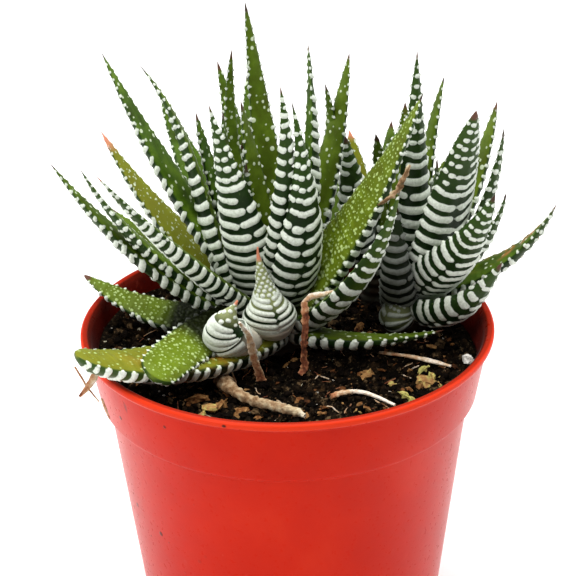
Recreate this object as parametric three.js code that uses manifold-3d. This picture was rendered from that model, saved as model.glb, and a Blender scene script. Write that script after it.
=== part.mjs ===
// A haworthia clump in a round nursery pot: pot, soil, three leafy rosettes
// with two young offsets, and the dry scraps that lie on the soil.
// Millimetres, +Z up. The origin is the centre of the pot's base, on the ground.
import * as THREE from 'three';
import { mergeVertices } from 'three/addons/utils/BufferGeometryUtils.js';
import Module from 'manifold-3d';

const wasm = await Module();
wasm.setup();

// ---- driving dimensions -------------------------------------------------
const RIM_Z = 90;            // top of the pot
const RIM_R = 52.5;          // outer radius of the flange at the rim
const RIM_INNER_R = 50.4;    // inner edge of the rim
const FLANGE_T = 2.8;        // height of the flange
const BAND_TOP_R = 50.9;     // collar just under the flange
const BAND_LOW_R = 48.2;     // collar at its lower edge
const BAND_LOW_Z = 72;       // height of the collar's lower edge
const BODY_TOP_R = 46.2;     // body just under the collar
const BODY_LOW_R = 37.6;     // body at the ground
const FLOOR_Z = 3.0;         // top of the pot's floor
const FOOT_IN_R = 31;        // inner radius of the foot ring
const PAD_R = 12;            // middle pad, level with the foot ring
const DRAIN_Z = 1.6;         // height of the ring between them, which drains
const DRAIN_R = 2.3;         // drain hole
const DRAIN_N = 8;
const POT_SIDES = 56;
const SOIL_Z = 81;           // soil level at the wall
const SOIL_DIP = 1.6;        // how far the soil sinks round the stems
const GAP = 0.3;             // clearance between touching pieces
const STEM_R = 5.0;          // leaves start this far from a rosette's axis
const RINGS = 12;            // cross-sections along a leaf
const RIDGE = 0.10;          // height of a leaf's cross ridges, as a share of its half width
const DEPTH = 0.62;          // leaf depth as a share of its half width

const V3 = (x, y, z) => new THREE.Vector3(x, y, z);
const RAD = Math.PI / 180;

// ---- meshes, solids and joins ------------------------------------------
function meshOf(points, faces) {
  const g = new THREE.BufferGeometry();
  g.setAttribute('position', new THREE.Float32BufferAttribute(points.flatMap((p) => [p.x, p.y, p.z]), 3));
  g.setIndex(faces.flat());
  return g;
}
function solidOf(geometry) {
  let g = geometry.clone();
  g.deleteAttribute('normal');
  g.deleteAttribute('uv');
  g = mergeVertices(g, 1e-4);
  const pos = g.getAttribute('position');
  const tri = [];
  let volume = 0;
  const a = V3(), b = V3(), c = V3();
  for (let i = 0; i < g.index.count; i += 3) {
    const [i0, i1, i2] = [g.index.getX(i), g.index.getX(i + 1), g.index.getX(i + 2)];
    if (i0 === i1 || i1 === i2 || i0 === i2) continue;
    tri.push(i0, i1, i2);
    a.fromBufferAttribute(pos, i0);
    b.fromBufferAttribute(pos, i1);
    c.fromBufferAttribute(pos, i2);
    volume += a.dot(b.cross(c));
  }
  if (volume < 0) for (let i = 0; i < tri.length; i += 3) [tri[i + 1], tri[i + 2]] = [tri[i + 2], tri[i + 1]];
  return new wasm.Manifold(new wasm.Mesh({
    numProp: 3, vertProperties: new Float32Array(pos.array), triVerts: new Uint32Array(tri),
  }));
}
function joinAll(solids) {
  let list = solids;
  while (list.length > 1) {
    const next = [];
    for (let i = 0; i < list.length; i += 2) {
      next.push(i + 1 < list.length ? list[i].add(list[i + 1]) : list[i]);
    }
    list = next;
  }
  return list[0];
}
// keeps the largest body and drops loose scraps and sealed hollows
function mainBody(solid) {
  const bodies = solid.decompose().filter((s) => s.volume() > 0);
  return bodies.sort((p, q) => q.volume() - p.volume())[0];
}
function geometryOf(solid) {
  const m = solid.getMesh();
  const g = new THREE.BufferGeometry();
  g.setAttribute('position', new THREE.Float32BufferAttribute(m.vertProperties, 3));
  g.setIndex(Array.from(m.triVerts));
  g.computeVertexNormals();
  return g;
}
function lathe(profile, sides) {
  const g = new THREE.LatheGeometry(profile.map(([r, z]) => new THREE.Vector2(r, z)), sides);
  g.rotateX(Math.PI / 2);
  return g;
}

// ---- leaves -------------------------------------------------------------
// One row a leaf: name, azimuth (0 = +X, 90 = +Y), lean from upright at the
// root and at the tip, length, width, height of the root, change of azimuth
// along the leaf, twist about its own length, the share of the length that is
// there (1 = to its point, less = a blunt worn end), and how much the leaf
// keeps its width before a slimmer point (0 = plain). A twelfth value, if any,
// is how far the leaf stands up straighter halfway along. Degrees and mm.
const MAIN_AT = [-3, 9];
const MAIN = [
  ['tall_back', 90, 23.7, 10.4, 71.6, 8.2, 96, 39, 0, 1, 0],
  ['back_left', 112, 26.8, 22.7, 57.5, 9.5, 96, 15, 0, 1, 0],
  ['back_left_thin', 128, 31, -11.3, 62.2, 5.5, 96, -5, 0, 1, 0],
  ['inner_back', 114, 8.7, 13.4, 44.6, 7.5, 99, 32, 0, 1, 0],
  ['inner_left', 112, 11.7, 13.2, 35.4, 7.5, 98, 62, 0, 1, 0],
  ['inner_front', -80, 20.5, -8.3, 56.2, 8.5, 99, 48, 0, 1, 0],
  ['front_right_upright', -58, 28.7, -18.2, 56.5, 13.5, 95, 9, 0, 1, 2],
  ['right_upright', 8, 10.8, -2.8, 64.8, 11.5, 97, 9, 0, 1, 1],
  ['back_right_thin', 46, 48.7, -16.3, 54.8, 8, 96, -6, 0, 1, 0],
  ['back_right', 36, 27.1, 13.7, 61.7, 10.5, 95, 12, 0, 1, 0],
  ['right_broad', -16, 36.4, 22.3, 68.4, 16, 92.5, 0, -35, 1, 0.5],
  ['right_low', -41, 57.9, 17, 59.9, 12.5, 87, -2, 0, 1, 0.6],
  ['right_lying', -41, 86, 86, 41.8, 11, 85.6, 56, 14, 1, 0.6],
  ['front_left_upright', -145, 12.5, 13.1, 53.2, 12.3, 96.9, -25, -45, 1, 1],
  ['left_inner', 158, 17.3, 2.8, 45.3, 7.5, 98, 1, 0, 1, 0],
  ['left_second', 148, 31.2, 11.6, 47.3, 8, 96, 3, 0, 1, 0],
  ['left_banded', 172, 29.7, 44.5, 76.9, 12.3, 83.5, -12.3, -20, 1, 0.6, 22.5],
  ['left_long', 166, 37.7, 27.3, 73.5, 12, 93.5, -10, 0, 1, 0.5],
  ['left_orange_tip', 158, 59.5, 34.7, 60.4, 12, 91, -7, 0, 1, 0.5],
  ['left_narrow', -168, 59.9, 26.3, 64.7, 11, 89, 10, 0, 1, 0.5],
  ['left_front', -144, 47.6, 37.9, 65.6, 13, 91, -7, 0, 1, 0.6],
  ['left_outer', -166, 61.3, 33.1, 69.2, 13, 88, -16, 0, 1, 0.6],
  ['left_rim_bright', 181, 96, 50, 61, 13, 86.6, -30, 13, 0.78, 0],
  ['left_rim_blunt', -126, 92, 48, 92, 18, 87.4, -26, 5, 0.7, 0],
  ['front_left_fat', -133.7, 84.3, 91, 110.2, 11.6, 91.3, 54.6, 29.8, 0.45, 0],
  ['heart_a', 20, 5, 2, 36, 8, 99, 0, 0, 1, 0],
  ['heart_b', -150, 6, 2, 33, 8, 99, 0, 0, 1, 0],
  ['behind_a', 98, 52, 28, 62, 13, 92, 0, 0, 1, 0],
  ['behind_b', 126, 58, 34, 64, 13.5, 91, 0, 0, 1, 0],
  ['behind_c', 112, 78, 58, 56, 13, 87, 0, 0, 1, 0],
  ['behind_d', 143, 80, 60, 54, 12, 86, 0, 0, 1, 0],
  ['behind_e', 78, 74, 52, 40, 12, 88, 10, 0, 1, 0],
];
const RIGHT_AT = [31, 14];
const RIGHT = [
  ['front_upright', -74, -1, 3.7, 65.3, 9.5, 94, 6, 0, 1, 0.8],
  ['back_upright', 52, 1.4, 16.9, 54.1, 6.5, 94, -25, 0, 1, 0],
  ['front_broad', -46, 20, 28.5, 59.5, 17, 94.7, -25, 0, 1, -0.5, 3],
  ['back_right', 30, 40.4, 13.6, 51.1, 9.5, 93, 2, 0, 1, 0],
  ['right_slim', -24, 39.2, 6.2, 53.7, 9.5, 92, -3, 0, 1, 0.3],
  ['right_front', -62, 58.1, 23.2, 46, 12.8, 96, 16.7, 45, 1, 0.2],
  ['right_second', -22, 54, 12.8, 39.9, 7, 91, -7, 0, 1, 0],
  ['right_outer', 6, 82.7, 23.9, 43.7, 11.5, 92, -31, 0, 1, 0.2],
  ['right_low', -58, 89.3, 29.4, 33.7, 12.5, 89.4, 46.9, 40, 1, 0.5, 8.3],
  ['left_small', -104, 42, -12, 37, 9.5, 88, 0, 0, 1, 0],
  ['heart_a', 160, 5, 2, 30, 8, 95, 0, 0, 1, 0],
  ['heart_b', 10, 8, 2, 33, 8, 95, 0, 0, 1, 0],
  ['behind_a', 88, 22, 8, 46, 10, 93, 0, 0, 1, 0],
  ['behind_b', 24, 62, 44, 28, 11, 90, 0, 0, 1, 0],
];
const BACK_AT = [24, 31.5];
const BACK = [
  ['left', 200, 2, 10, 37, 10, 93, 0, -80, 1, 0],
  ['left_back', 115, 10, 26, 33, 9, 93, 0, 0, 1, 0],
  ['right', 60, 2, -18, 36, 8, 93, 0, 0, 1, 0],
  ['right_lean', 85, 16, 34, 39, 9, 92, -60, 0, 1, 0],
  ['behind_a', 78, 46, 26, 38, 10, 91, 0, 0, 1, 0],
  ['behind_b', 125, 50, 30, 40, 10, 90, 0, 0, 1, 0],
  ['behind_c', 40, 54, 34, 34, 10, 91.5, 0, 0, 1, 0],
];
// the leaf's cross-section: across, outward (the outer face is keeled)
const SECTION = [[-1, 0], [-0.62, 0.78], [0, 1], [0.62, 0.78], [1, 0], [0, -0.28]];

function leafFrame(az, lean) {
  const t = V3(Math.sin(lean) * Math.cos(az), Math.sin(lean) * Math.sin(az), Math.cos(lean));
  const s = V3(-Math.sin(az), Math.cos(az), 0);
  return { t, s, n: V3().crossVectors(s, t) };
}
function leaf([, az, lean0, lean1, length, width, rootZ, sweep, twist, share, slim, bow = 0], [cx, cy]) {
  const at = (u) => leafFrame((az + sweep * u) * RAD,
    (lean0 + (lean1 - lean0) * u - 4 * bow * u * (1 - u)) * RAD);
  const a0 = az * RAD;
  const points = [];
  const ring = (p, f, w, ridge) => {
    const c = Math.cos(twist * RAD), d = Math.sin(twist * RAD);
    const s = f.s.clone().multiplyScalar(c).addScaledVector(f.n, d);
    const n = f.n.clone().multiplyScalar(c).addScaledVector(f.s, -d);
    for (const [x, y] of SECTION) {
      const k = y > 0 ? 1 + ridge : 1;
      points.push(p.clone()
        .addScaledVector(s, x * w * (1 + 0.6 * ridge))
        .addScaledVector(n, y * w * DEPTH * k));
    }
  };
  const p = V3(cx + STEM_R * Math.cos(a0), cy + STEM_R * Math.sin(a0), rootZ);
  ring(V3(cx + 0.8 * Math.cos(a0), cy + 0.8 * Math.sin(a0), rootZ - 1.2), at(0), width * 0.26, 0);
  const STEPS = 8;
  for (let i = 0; i < RINGS; i++) {
    const u = (i / RINGS) * share;
    let w = (width / 2) * Math.pow(1 - u, 1.1 + 0.35 * slim) * (1 + (1.2 + 0.75 * slim) * u);
    if (share < 1 && i > RINGS * 0.93) w *= Math.sqrt((1 - i / RINGS) / 0.07);
    ring(p, at(u), w, RIDGE * (i % 2 ? 1 : -0.3));
    for (let k = 0; k < STEPS; k++) {
      p.addScaledVector(at(u + ((k + 0.5) / STEPS) * (share / RINGS)).t, (length * share) / RINGS / STEPS);
    }
  }
  points.push(p.clone());
  const n = SECTION.length, rings = RINGS + 1, faces = [];
  for (let i = 0; i < rings - 1; i++) {
    for (let j = 0; j < n; j++) {
      const a = i * n + j, b = i * n + ((j + 1) % n);
      faces.push([a, b, b + n], [a, b + n, a + n]);
    }
  }
  for (let j = 0; j < n; j++) faces.push([(rings - 1) * n + j, (rings - 1) * n + ((j + 1) % n), rings * n]);
  for (let j = 1; j < n - 1; j++) faces.push([0, j + 1, j]);
  return solidOf(meshOf(points, faces));
}
// a swept solid through given points: radius across and deep at each point
function sweep(path, sides, wide, deep, side) {
  const points = [];
  for (let i = 0; i < path.length; i++) {
    const prev = path[Math.max(0, i - 1)], next = path[Math.min(path.length - 1, i + 1)];
    const t = V3(...next).sub(V3(...prev)).normalize();
    const s = V3(...side).addScaledVector(t, -V3(...side).dot(t)).normalize();
    const n = V3().crossVectors(t, s);
    for (let j = 0; j < sides; j++) {
      const a = (2 * Math.PI * j) / sides;
      points.push(V3(...path[i])
        .addScaledVector(s, Math.cos(a) * wide[i])
        .addScaledVector(n, Math.sin(a) * deep[i]));
    }
  }
  const faces = [];
  for (let i = 0; i < path.length - 1; i++) {
    for (let j = 0; j < sides; j++) {
      const a = i * sides + j, b = i * sides + ((j + 1) % sides);
      faces.push([a, b, b + sides], [a, b + sides, a + sides]);
    }
  }
  const last = (path.length - 1) * sides;
  for (let j = 1; j < sides - 1; j++) faces.push([0, j + 1, j], [last, last + j, last + j + 1]);
  return solidOf(meshOf(points, faces));
}
// a rosette's short leafless stem, from below the soil to among the leaf bases
function stem([cx, cy], low, high, r) {
  const g = lathe([
    [0, low], [r * 0.7, low], [r * 0.8, SOIL_Z - 3], [r, high - 14], [r, high - 6], [r * 0.5, high], [0, high],
  ], 12);
  g.translate(cx, cy, 0);
  return solidOf(g);
}

// ---- the pot ------------------------------------------------------------
const potProfile = [
  [0, 0], [PAD_R, 0], [PAD_R + 0.5, DRAIN_Z], [FOOT_IN_R - 0.5, DRAIN_Z], [FOOT_IN_R, 0],
  [BODY_LOW_R - 0.7, 0], [BODY_LOW_R, 0.7], [BODY_TOP_R, BAND_LOW_Z - 0.8],
  [BAND_LOW_R - 0.5, BAND_LOW_Z - 0.4], [BAND_LOW_R, BAND_LOW_Z],
  [BAND_TOP_R, RIM_Z - FLANGE_T], [RIM_R - 0.4, RIM_Z - FLANGE_T], [RIM_R, RIM_Z - FLANGE_T + 0.6],
  [RIM_R, RIM_Z - 0.5], [RIM_R - 0.5, RIM_Z], [RIM_INNER_R, RIM_Z], [RIM_INNER_R - 0.6, RIM_Z - 1.2],
  [BAND_LOW_R + 0.5, SOIL_Z - 1], [BAND_LOW_R - 1.1, BAND_LOW_Z + 0.5], [BODY_TOP_R - 1.2, BAND_LOW_Z - 1.5],
  [BODY_LOW_R - 0.4, 5], [BODY_LOW_R - 2.4, FLOOR_Z], [0, FLOOR_Z],
];
let pot = solidOf(lathe(potProfile, POT_SIDES));
for (let i = 0; i < DRAIN_N; i++) {
  const a = (2 * Math.PI * (i + 0.5)) / DRAIN_N;
  const hole = new THREE.CylinderGeometry(DRAIN_R, DRAIN_R, 10, 10);
  hole.rotateX(Math.PI / 2);
  hole.translate(22 * Math.cos(a), 22 * Math.sin(a), 1);
  pot = pot.subtract(solidOf(hole));
}

// ---- the rosettes -------------------------------------------------------
// young offsets: short fat leaves that cup over one another
const OFFSET_A = [
  [[-3, 4, 88], [-3.6, -1.5, 89.5], [-4.2, -3.6, 92], [-4.6, -4.4, 95.5], [-5, -4.6, 99], [-5.6, -4.6, 103],
    [-6.3, -4.8, 107.5], [-6.8, -5, 111], [-6.9, -5.2, 113.5]],
  [3, 4.8, 6.6, 7, 4.6, 2.6, 1.3, 0.7, 0.3], [2.5, 3.6, 4.4, 4.4, 3.4, 2.2, 1.2, 0.7, 0.3]];
const OFFSET_B = [
  [[-7, 4, 87], [-10.5, -2.5, 86.5], [-13, -6, 88.3], [-15.2, -8, 91], [-15.4, -8.8, 94], [-14.2, -9, 97],
    [-12.9, -9.1, 99.2], [-12, -9.2, 101]],
  [2.6, 4.2, 5.4, 5.6, 4.6, 2.8, 1.3, 0.3], [2.4, 3.4, 4.0, 4.0, 3.4, 2.2, 1.1, 0.3]];
const OFFSET_C = [
  [[29, 13, 88], [28.6, 8.4, 87.2], [28.2, 5.2, 88], [28.4, 4.2, 90.4], [29.8, 4, 93.2], [31.7, 4, 96]],
  [2.6, 3.8, 4.4, 4, 2.4, 0.3], [2.2, 3.0, 3.6, 3.3, 2.1, 0.3]];
const main = joinAll([
  stem(MAIN_AT, 58, 98, 6.5), ...MAIN.map((row) => leaf(row, MAIN_AT)),
  sweep(OFFSET_A[0], 10, OFFSET_A[1], OFFSET_A[2], [1, 0, 0]),
  sweep(OFFSET_B[0], 10, OFFSET_B[1], OFFSET_B[2], [1, 0.3, 0]),
]);
const right = joinAll([
  stem(RIGHT_AT, 62, 96, 5.5), ...RIGHT.map((row) => leaf(row, RIGHT_AT)),
  sweep(OFFSET_C[0], 8, OFFSET_C[1], OFFSET_C[2], [1, 0, 0]),
]);
const back = joinAll([stem(BACK_AT, 66, 95, 4.2), ...BACK.map((row) => leaf(row, BACK_AT))]);

// ---- dry scraps ---------------------------------------------------------
const driedFront = sweep(
  [[5.4, -7.6, 96.5], [4.6, -9.2, 95], [4.2, -10.2, 90], [4.0, -10.4, 85], [3.9, -10.6, 80.9]],
  6, [0.7, 1.3, 1.5, 1.3, 1.5], [0.4, 0.7, 0.7, 0.6, 0.8], [1, 0, 0]);
const driedLeft = sweep(
  [[-9.4, -14, 93.5], [-8.8, -14.6, 90], [-8.1, -14.8, 86.5], [-7.3, -13.9, 83.5], [-6.8, -13.4, 80.9]],
  6, [0.6, 1.2, 1.4, 1.2, 1.5], [0.4, 0.6, 0.6, 0.6, 0.7], [1, 0, 0]);
const deadRoot = sweep([[-16.6, -15.8, 82.4], [-15.6, -18.6, 82.8], [-13.6, -22, 82.8], [-10.7, -25.8, 82.8],
  [-7.6, -28.4, 82.8], [-4.6, -30, 82.8], [-1, -32, 82.8], [2, -33.8, 82.8], [3.8, -35.2, 82.6]],
  8, [1.5, 1.7, 1.3, 1.2, 1.3, 1.25, 1.2, 1.1, 0.6],
  [1.3, 1.5, 1.3, 1.2, 1.3, 1.25, 1.2, 1.1, 0.6], [0, 0, 1]);
const strawLong = sweep([[10.3, -25.2, 82.2], [13.4, -24, 82.5], [17, -23.9, 82.6], [20.8, -25.8, 82.5],
  [25.7, -30.2, 82.2]], 5, [0.35, 0.55, 0.6, 0.5, 0.35], [0.35, 0.5, 0.5, 0.45, 0.35], [0, 0, 1]);
const strawShort = sweep([[25, -3.4, 82.3], [30.7, -5.8, 82.5], [36, -8.4, 82.4], [40.9, -11, 82.2]],
  5, [0.35, 0.5, 0.5, 0.35], [0.35, 0.5, 0.5, 0.35], [0, 0, 1]);

const dryTip = sweep([[-45.4, -33.8, 94.2], [-46.2, -34.2, 93.6], [-47.1, -34.6, 92.6], [-48.4, -35.2, 90.9],
  [-49.8, -35.6, 89.4]], 6, [0.8, 1.3, 1.1, 0.7, 0.35], [0.5, 0.7, 0.6, 0.5, 0.35], [0.7, 0, 0.7]);

// ---- the soil -----------------------------------------------------------
const soilTop = [];
for (let i = 0; i <= 8; i++) {
  const r = (i / 8) * (BAND_LOW_R - 0.1);
  soilTop.push([r, SOIL_Z - SOIL_DIP * Math.pow(Math.cos((Math.PI / 2) * (i / 8)), 2)]);
}
const soilProfile = [
  [0, FLOOR_Z + GAP], [BODY_LOW_R - 2.6, FLOOR_Z + GAP], [BODY_LOW_R - 0.9, 5],
  [BODY_TOP_R - 1.6, BAND_LOW_Z - 1.4],
  [BAND_LOW_R - 1.6, BAND_LOW_Z + 0.6], ...soilTop.reverse(),
];
const soilGeometry = lathe(soilProfile, 44);
const sp = soilGeometry.getAttribute('position');
for (let i = 0; i < sp.count; i++) {
  const x = sp.getX(i), y = sp.getY(i), z = sp.getZ(i), r = Math.hypot(x, y);
  if (z > 79 && r > 1 && r < BAND_LOW_R - 1) {
    sp.setZ(i, z + 0.55 * Math.sin(0.9 * x + 1.3) * Math.sin(0.8 * y + 0.4) + 0.3 * Math.sin(2.1 * x - 1.7 * y));
  }
}
let soil = solidOf(soilGeometry);
for (const [[cx, cy], low, r] of [[MAIN_AT, 58, 6.5], [RIGHT_AT, 62, 5.5], [BACK_AT, 66, 4.2]]) {
  const hole = new THREE.CylinderGeometry(r + 0.6, r + 0.2, SOIL_Z + 4 - low, 12);
  hole.rotateX(Math.PI / 2);
  hole.translate(cx, cy, (SOIL_Z + 4 + low) / 2 - GAP);
  soil = soil.subtract(solidOf(hole));
}

// ---- the assembly -------------------------------------------------------
const material = (color, roughness) => new THREE.MeshStandardMaterial({ color, roughness, metalness: 0 });
const POT_RED = material(0xd63820, 0.38);
const SOIL_BROWN = material(0x2b1d14, 0.98);
const LEAF_GREEN = material(0x4b7814, 0.55);
const DRY_BROWN = material(0x8a4a22, 0.85);
const ROOT_TAN = material(0xb9a27a, 0.9);
const STRAW = material(0xc9a27c, 0.8);
const clump = new THREE.Group();
function put(name, solid, mat) {
  const mesh = new THREE.Mesh(geometryOf(mainBody(solid)), mat);
  mesh.name = name;
  clump.add(mesh);
}
put('pot', pot, POT_RED);
put('soil', soil, SOIL_BROWN);
put('rosette_main', main, LEAF_GREEN);
put('rosette_right', right, LEAF_GREEN);
put('rosette_back', back, LEAF_GREEN);
put('dried_leaf_front', driedFront, DRY_BROWN);
put('dried_leaf_left', driedLeft, DRY_BROWN);
put('dead_root', deadRoot, ROOT_TAN);
put('dry_leaf_tip', dryTip, DRY_BROWN);
put('straw_long', strawLong, STRAW);
put('straw_short', strawShort, STRAW);

export default clump;
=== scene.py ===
# %% [markdown]
# # A potted haworthia
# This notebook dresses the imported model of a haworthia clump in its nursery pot.
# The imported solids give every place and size; each piece below is made finer and
# takes its place. Lengths are written in millimetres and turned into metres with MM.

# %% Load the frame
import math
import random
import bpy
import numpy as np
from mathutils import Vector, Matrix


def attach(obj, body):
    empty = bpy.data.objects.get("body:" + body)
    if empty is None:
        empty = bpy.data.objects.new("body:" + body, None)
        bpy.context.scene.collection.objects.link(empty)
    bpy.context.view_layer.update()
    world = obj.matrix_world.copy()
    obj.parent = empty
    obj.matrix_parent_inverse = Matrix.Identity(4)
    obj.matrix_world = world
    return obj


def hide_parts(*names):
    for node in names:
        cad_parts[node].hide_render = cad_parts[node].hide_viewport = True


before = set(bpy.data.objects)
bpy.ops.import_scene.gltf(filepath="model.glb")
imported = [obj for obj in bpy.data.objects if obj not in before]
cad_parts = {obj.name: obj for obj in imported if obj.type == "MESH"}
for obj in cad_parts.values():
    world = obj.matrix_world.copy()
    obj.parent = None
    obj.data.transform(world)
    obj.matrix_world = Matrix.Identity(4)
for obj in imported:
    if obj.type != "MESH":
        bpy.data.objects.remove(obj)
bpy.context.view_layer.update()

MM = 0.001
print("nodes:", sorted(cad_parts))

# %% [markdown]
# ## The camera
# A camera looking down 26 degrees sees the round rim as an ellipse about 0.44 as high as
# it is wide. The lens is long, so the pot's sides stay nearly parallel, and the camera is
# rolled by a little more than a degree, as a hand-held one is.

# %% Camera
LOOK_DOWN, ROLL = math.radians(26.0), math.radians(1.2)
DISTANCE = 500 * MM
SENSOR, LENS = 36, 122.90625
RIM_MIDDLE, ABOVE_RIM = (0.38, 0, 90), 8.65
forward = Vector((0, math.cos(LOOK_DOWN), -math.sin(LOOK_DOWN)))
upward = Vector((0, math.sin(LOOK_DOWN), math.cos(LOOK_DOWN)))
aim = Vector(RIM_MIDDLE) * MM + upward * ABOVE_RIM * MM
camera_data = bpy.data.cameras.new("camera")
camera_data.lens, camera_data.sensor_width = LENS, SENSOR
camera_data.clip_start, camera_data.clip_end = 0.02, 20
camera = bpy.data.objects.new("camera", camera_data)
bpy.context.scene.collection.objects.link(camera)
camera.location = aim - forward * DISTANCE
turn = forward.to_track_quat("-Z", "Y").to_matrix()
camera.rotation_euler = (Matrix.Rotation(ROLL, 3, forward) @ turn).to_euler()
bpy.context.scene.camera = camera
print("lens", round(LENS, 1), "mm, camera at", [round(v, 3) for v in camera.location])

# %% [markdown]
# ## Floor and light
# A wide pale floor fills the view. A large softbox hangs over the table, a smaller lamp
# stands high at the front left, and one softbox on each side, a little behind, draws pale
# reflections along both edges of the plastic pot. The sky is a weak, nearly white fill.

# %% Stage
FLOOR_SIZE, SKY_COLOUR, SKY_STRENGTH = 8, (0.95, 0.97, 1.0, 1), 0.22
LAMPS_AIM_AT = Vector((0, 0, 0.1))


def deselect():
    if bpy.context.object and bpy.context.object.mode != "OBJECT":
        bpy.ops.object.mode_set(mode="OBJECT")
    bpy.ops.object.select_all(action="DESELECT")


def principled(name, colour, roughness, shine=0.5):
    """A new material; returns it with its node tree and shader."""
    mat = bpy.data.materials.new(name)
    mat.use_nodes = True
    tree = mat.node_tree
    shader = tree.nodes["Principled BSDF"]
    shader.inputs["Base Color"].default_value = (*colour, 1)
    shader.inputs["Roughness"].default_value = roughness
    shader.inputs["Specular IOR Level"].default_value = shine
    return mat, tree, shader


deselect()
bpy.ops.mesh.primitive_plane_add(size=FLOOR_SIZE, location=(0, 0, 0))
floor = bpy.context.object
floor.name = "studio_floor"
floor.data.materials.append(principled("pale paper", (0.95, 0.95, 0.955), 0.9)[0])

world = bpy.data.worlds.new("studio")
world.use_nodes = True
sky = world.node_tree.nodes["Background"].inputs
sky[0].default_value, sky[1].default_value = SKY_COLOUR, SKY_STRENGTH
bpy.context.scene.world = world


def lamp(name, place, watts, size, colour):
    data = bpy.data.lights.new(name, "AREA")
    data.energy, data.size, data.color = watts, size, colour
    ob = bpy.data.objects.new(name, data)
    bpy.context.scene.collection.objects.link(ob)
    ob.location = place
    ob.rotation_euler = (LAMPS_AIM_AT - Vector(place)).to_track_quat("-Z", "Y").to_euler()


lamp("ceiling", (0.05, 0.1, 1.15), 25, 1.3, (1.0, 0.99, 0.97))
lamp("key", (-0.55, -0.65, 0.85), 6.5, 0.3, (1.0, 0.985, 0.95))
lamp("side_left", (-0.75, 0.22, 0.25), 2.6, 0.5, (0.97, 0.96, 1.0))
lamp("side_right", (0.75, 0.22, 0.25), 2.6, 0.5, (0.97, 0.96, 1.0))
bpy.context.scene.view_settings.view_transform = "Standard"
bpy.context.scene.view_settings.look = "None"
print("stage ready")

# %% [markdown]
# ## A rolled sheet
# Leaves, roots and straws are closed skins with two poles. Each starts as a flat grid.
# Its two directions become "around" and "along": every point is sent to its place by a
# rule, and merging the doubled points closes the seam and the poles. The last column gets
# exactly the places of the first, so that no gap is left where they meet.

# %% Rolling a grid into a closed skin
SAME_PLACE = 0.0002


def drop_uv(ob):
    """Nothing here has a picture on it, so the maps that primitives bring are removed."""
    while ob.data.uv_layers:
        ob.data.uv_layers.remove(ob.data.uv_layers[0])


def rolled(name, around, along, rule):
    """rule(a, l) gives places in mm, and a dict of values that the material reads."""
    deselect()
    bpy.ops.mesh.primitive_grid_add(x_subdivisions=around, y_subdivisions=along, size=1)
    ob = bpy.context.object
    ob.name = ob.data.name = name
    flat = np.zeros(len(ob.data.vertices) * 3)
    ob.data.vertices.foreach_get("co", flat)
    flat = flat.reshape(-1, 3)
    a = np.round((flat[:, 0] + 0.5) * around) / around
    l = np.round((flat[:, 1] + 0.5) * along) / along
    places, values = rule(a, l)
    places = places.reshape(along + 1, around + 1, 3)
    places[:, -1] = places[:, 0]
    ob.data.vertices.foreach_set("co", (places * MM).ravel())
    for key, value in values.items():
        layer = ob.data.attributes.new(key, "FLOAT", "POINT")
        layer.data.foreach_set("value", np.asarray(value, np.float32))
    bpy.ops.object.mode_set(mode="EDIT")
    bpy.ops.mesh.select_all(action="SELECT")
    bpy.ops.mesh.remove_doubles(threshold=SAME_PLACE * MM)
    bpy.ops.mesh.normals_make_consistent(inside=False)
    bpy.ops.mesh.faces_shade_smooth()
    bpy.ops.object.mode_set(mode="OBJECT")
    drop_uv(ob)
    ob.select_set(False)
    return ob


def lumps(p, scale, seed):
    """Smooth random values from 0 to 1 that change over about scale mm. The large numbers
    only scramble each cell's place into a value that looks random."""
    q = np.asarray(p, float) / scale + 1000
    i = np.floor(q).astype(np.int64)
    f = q - i
    f = f * f * (3 - 2 * f)
    out = 0
    for dx in (0, 1):
        for dy in (0, 1):
            for dz in (0, 1):
                h = (i[:, 0] + dx) * 73856093 ^ (i[:, 1] + dy) * 19349663 ^ (i[:, 2] + dz) * 83492791
                h = (h ^ (seed * 2654435761)) & 0xFFFFFFFF
                h = (h * 1103515245 + 12345) & 0xFFFFFFFF
                h = ((h >> 9) ^ h) & 0xFFFF
                w = np.abs(1 - dx - f[:, 0]) * np.abs(1 - dy - f[:, 1]) * np.abs(1 - dz - f[:, 2])
                out = out + w * h / 65535.0
    return out


def smooth(low, high, x):
    x = np.clip((x - low) / (high - low), 0, 1)
    return x * x * (3 - 2 * x)


def part_of(ob, node, mat):
    """The piece rides on the one body, stands for its solid and takes its finish."""
    ob.data.materials.clear()
    ob.data.materials.append(mat)
    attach(ob, "root")
    if node:
        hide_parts(node)
    return ob


print("helpers ready")

# %% [markdown]
# ## The leaf skin
# A haworthia leaf has two faces. The outer one is dark and carries raised white bands,
# which break into dashes and then into dots towards the tip. The inner one is plain green
# with a few small dots. The rule that shapes a leaf measures how far each point is from
# the nearest band, raises the skin there, and stores that distance as "band", so colour
# and relief always agree. "inner" says which face a point is on, and "up" how far along.

# %% Nodes in few words
def add(tree, kind, inputs, **settings):
    """A new node. Each input gets a number, a colour or another node's output."""
    node = tree.nodes.new("ShaderNode" + kind)
    for key, value in settings.items():
        setattr(node, key, value)
    for key, value in inputs.items():
        socket = node.inputs[key]
        if isinstance(value, bpy.types.NodeSocket):
            tree.links.new(value, socket)
        else:
            socket.default_value = (*value, 1) if socket.type == "RGBA" else value
    return node


def position(tree):
    return add(tree, "TexCoord", {}).outputs["Object"]


def reader(tree, key):
    """A value that rolled() stored at each point."""
    return add(tree, "Attribute", {}, attribute_name=key).outputs["Fac"]


def ramp(tree, value, stops):
    node = add(tree, "ValToRGB", {0: value})
    elements = node.color_ramp.elements
    while len(elements) > 1:
        elements.remove(elements[0])
    elements[0].position, elements[0].color = stops[0][0], (*stops[0][1], 1)
    for place, colour in stops[1:]:
        elements.new(place).color = (*colour, 1)
    return node.outputs[0]


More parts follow.
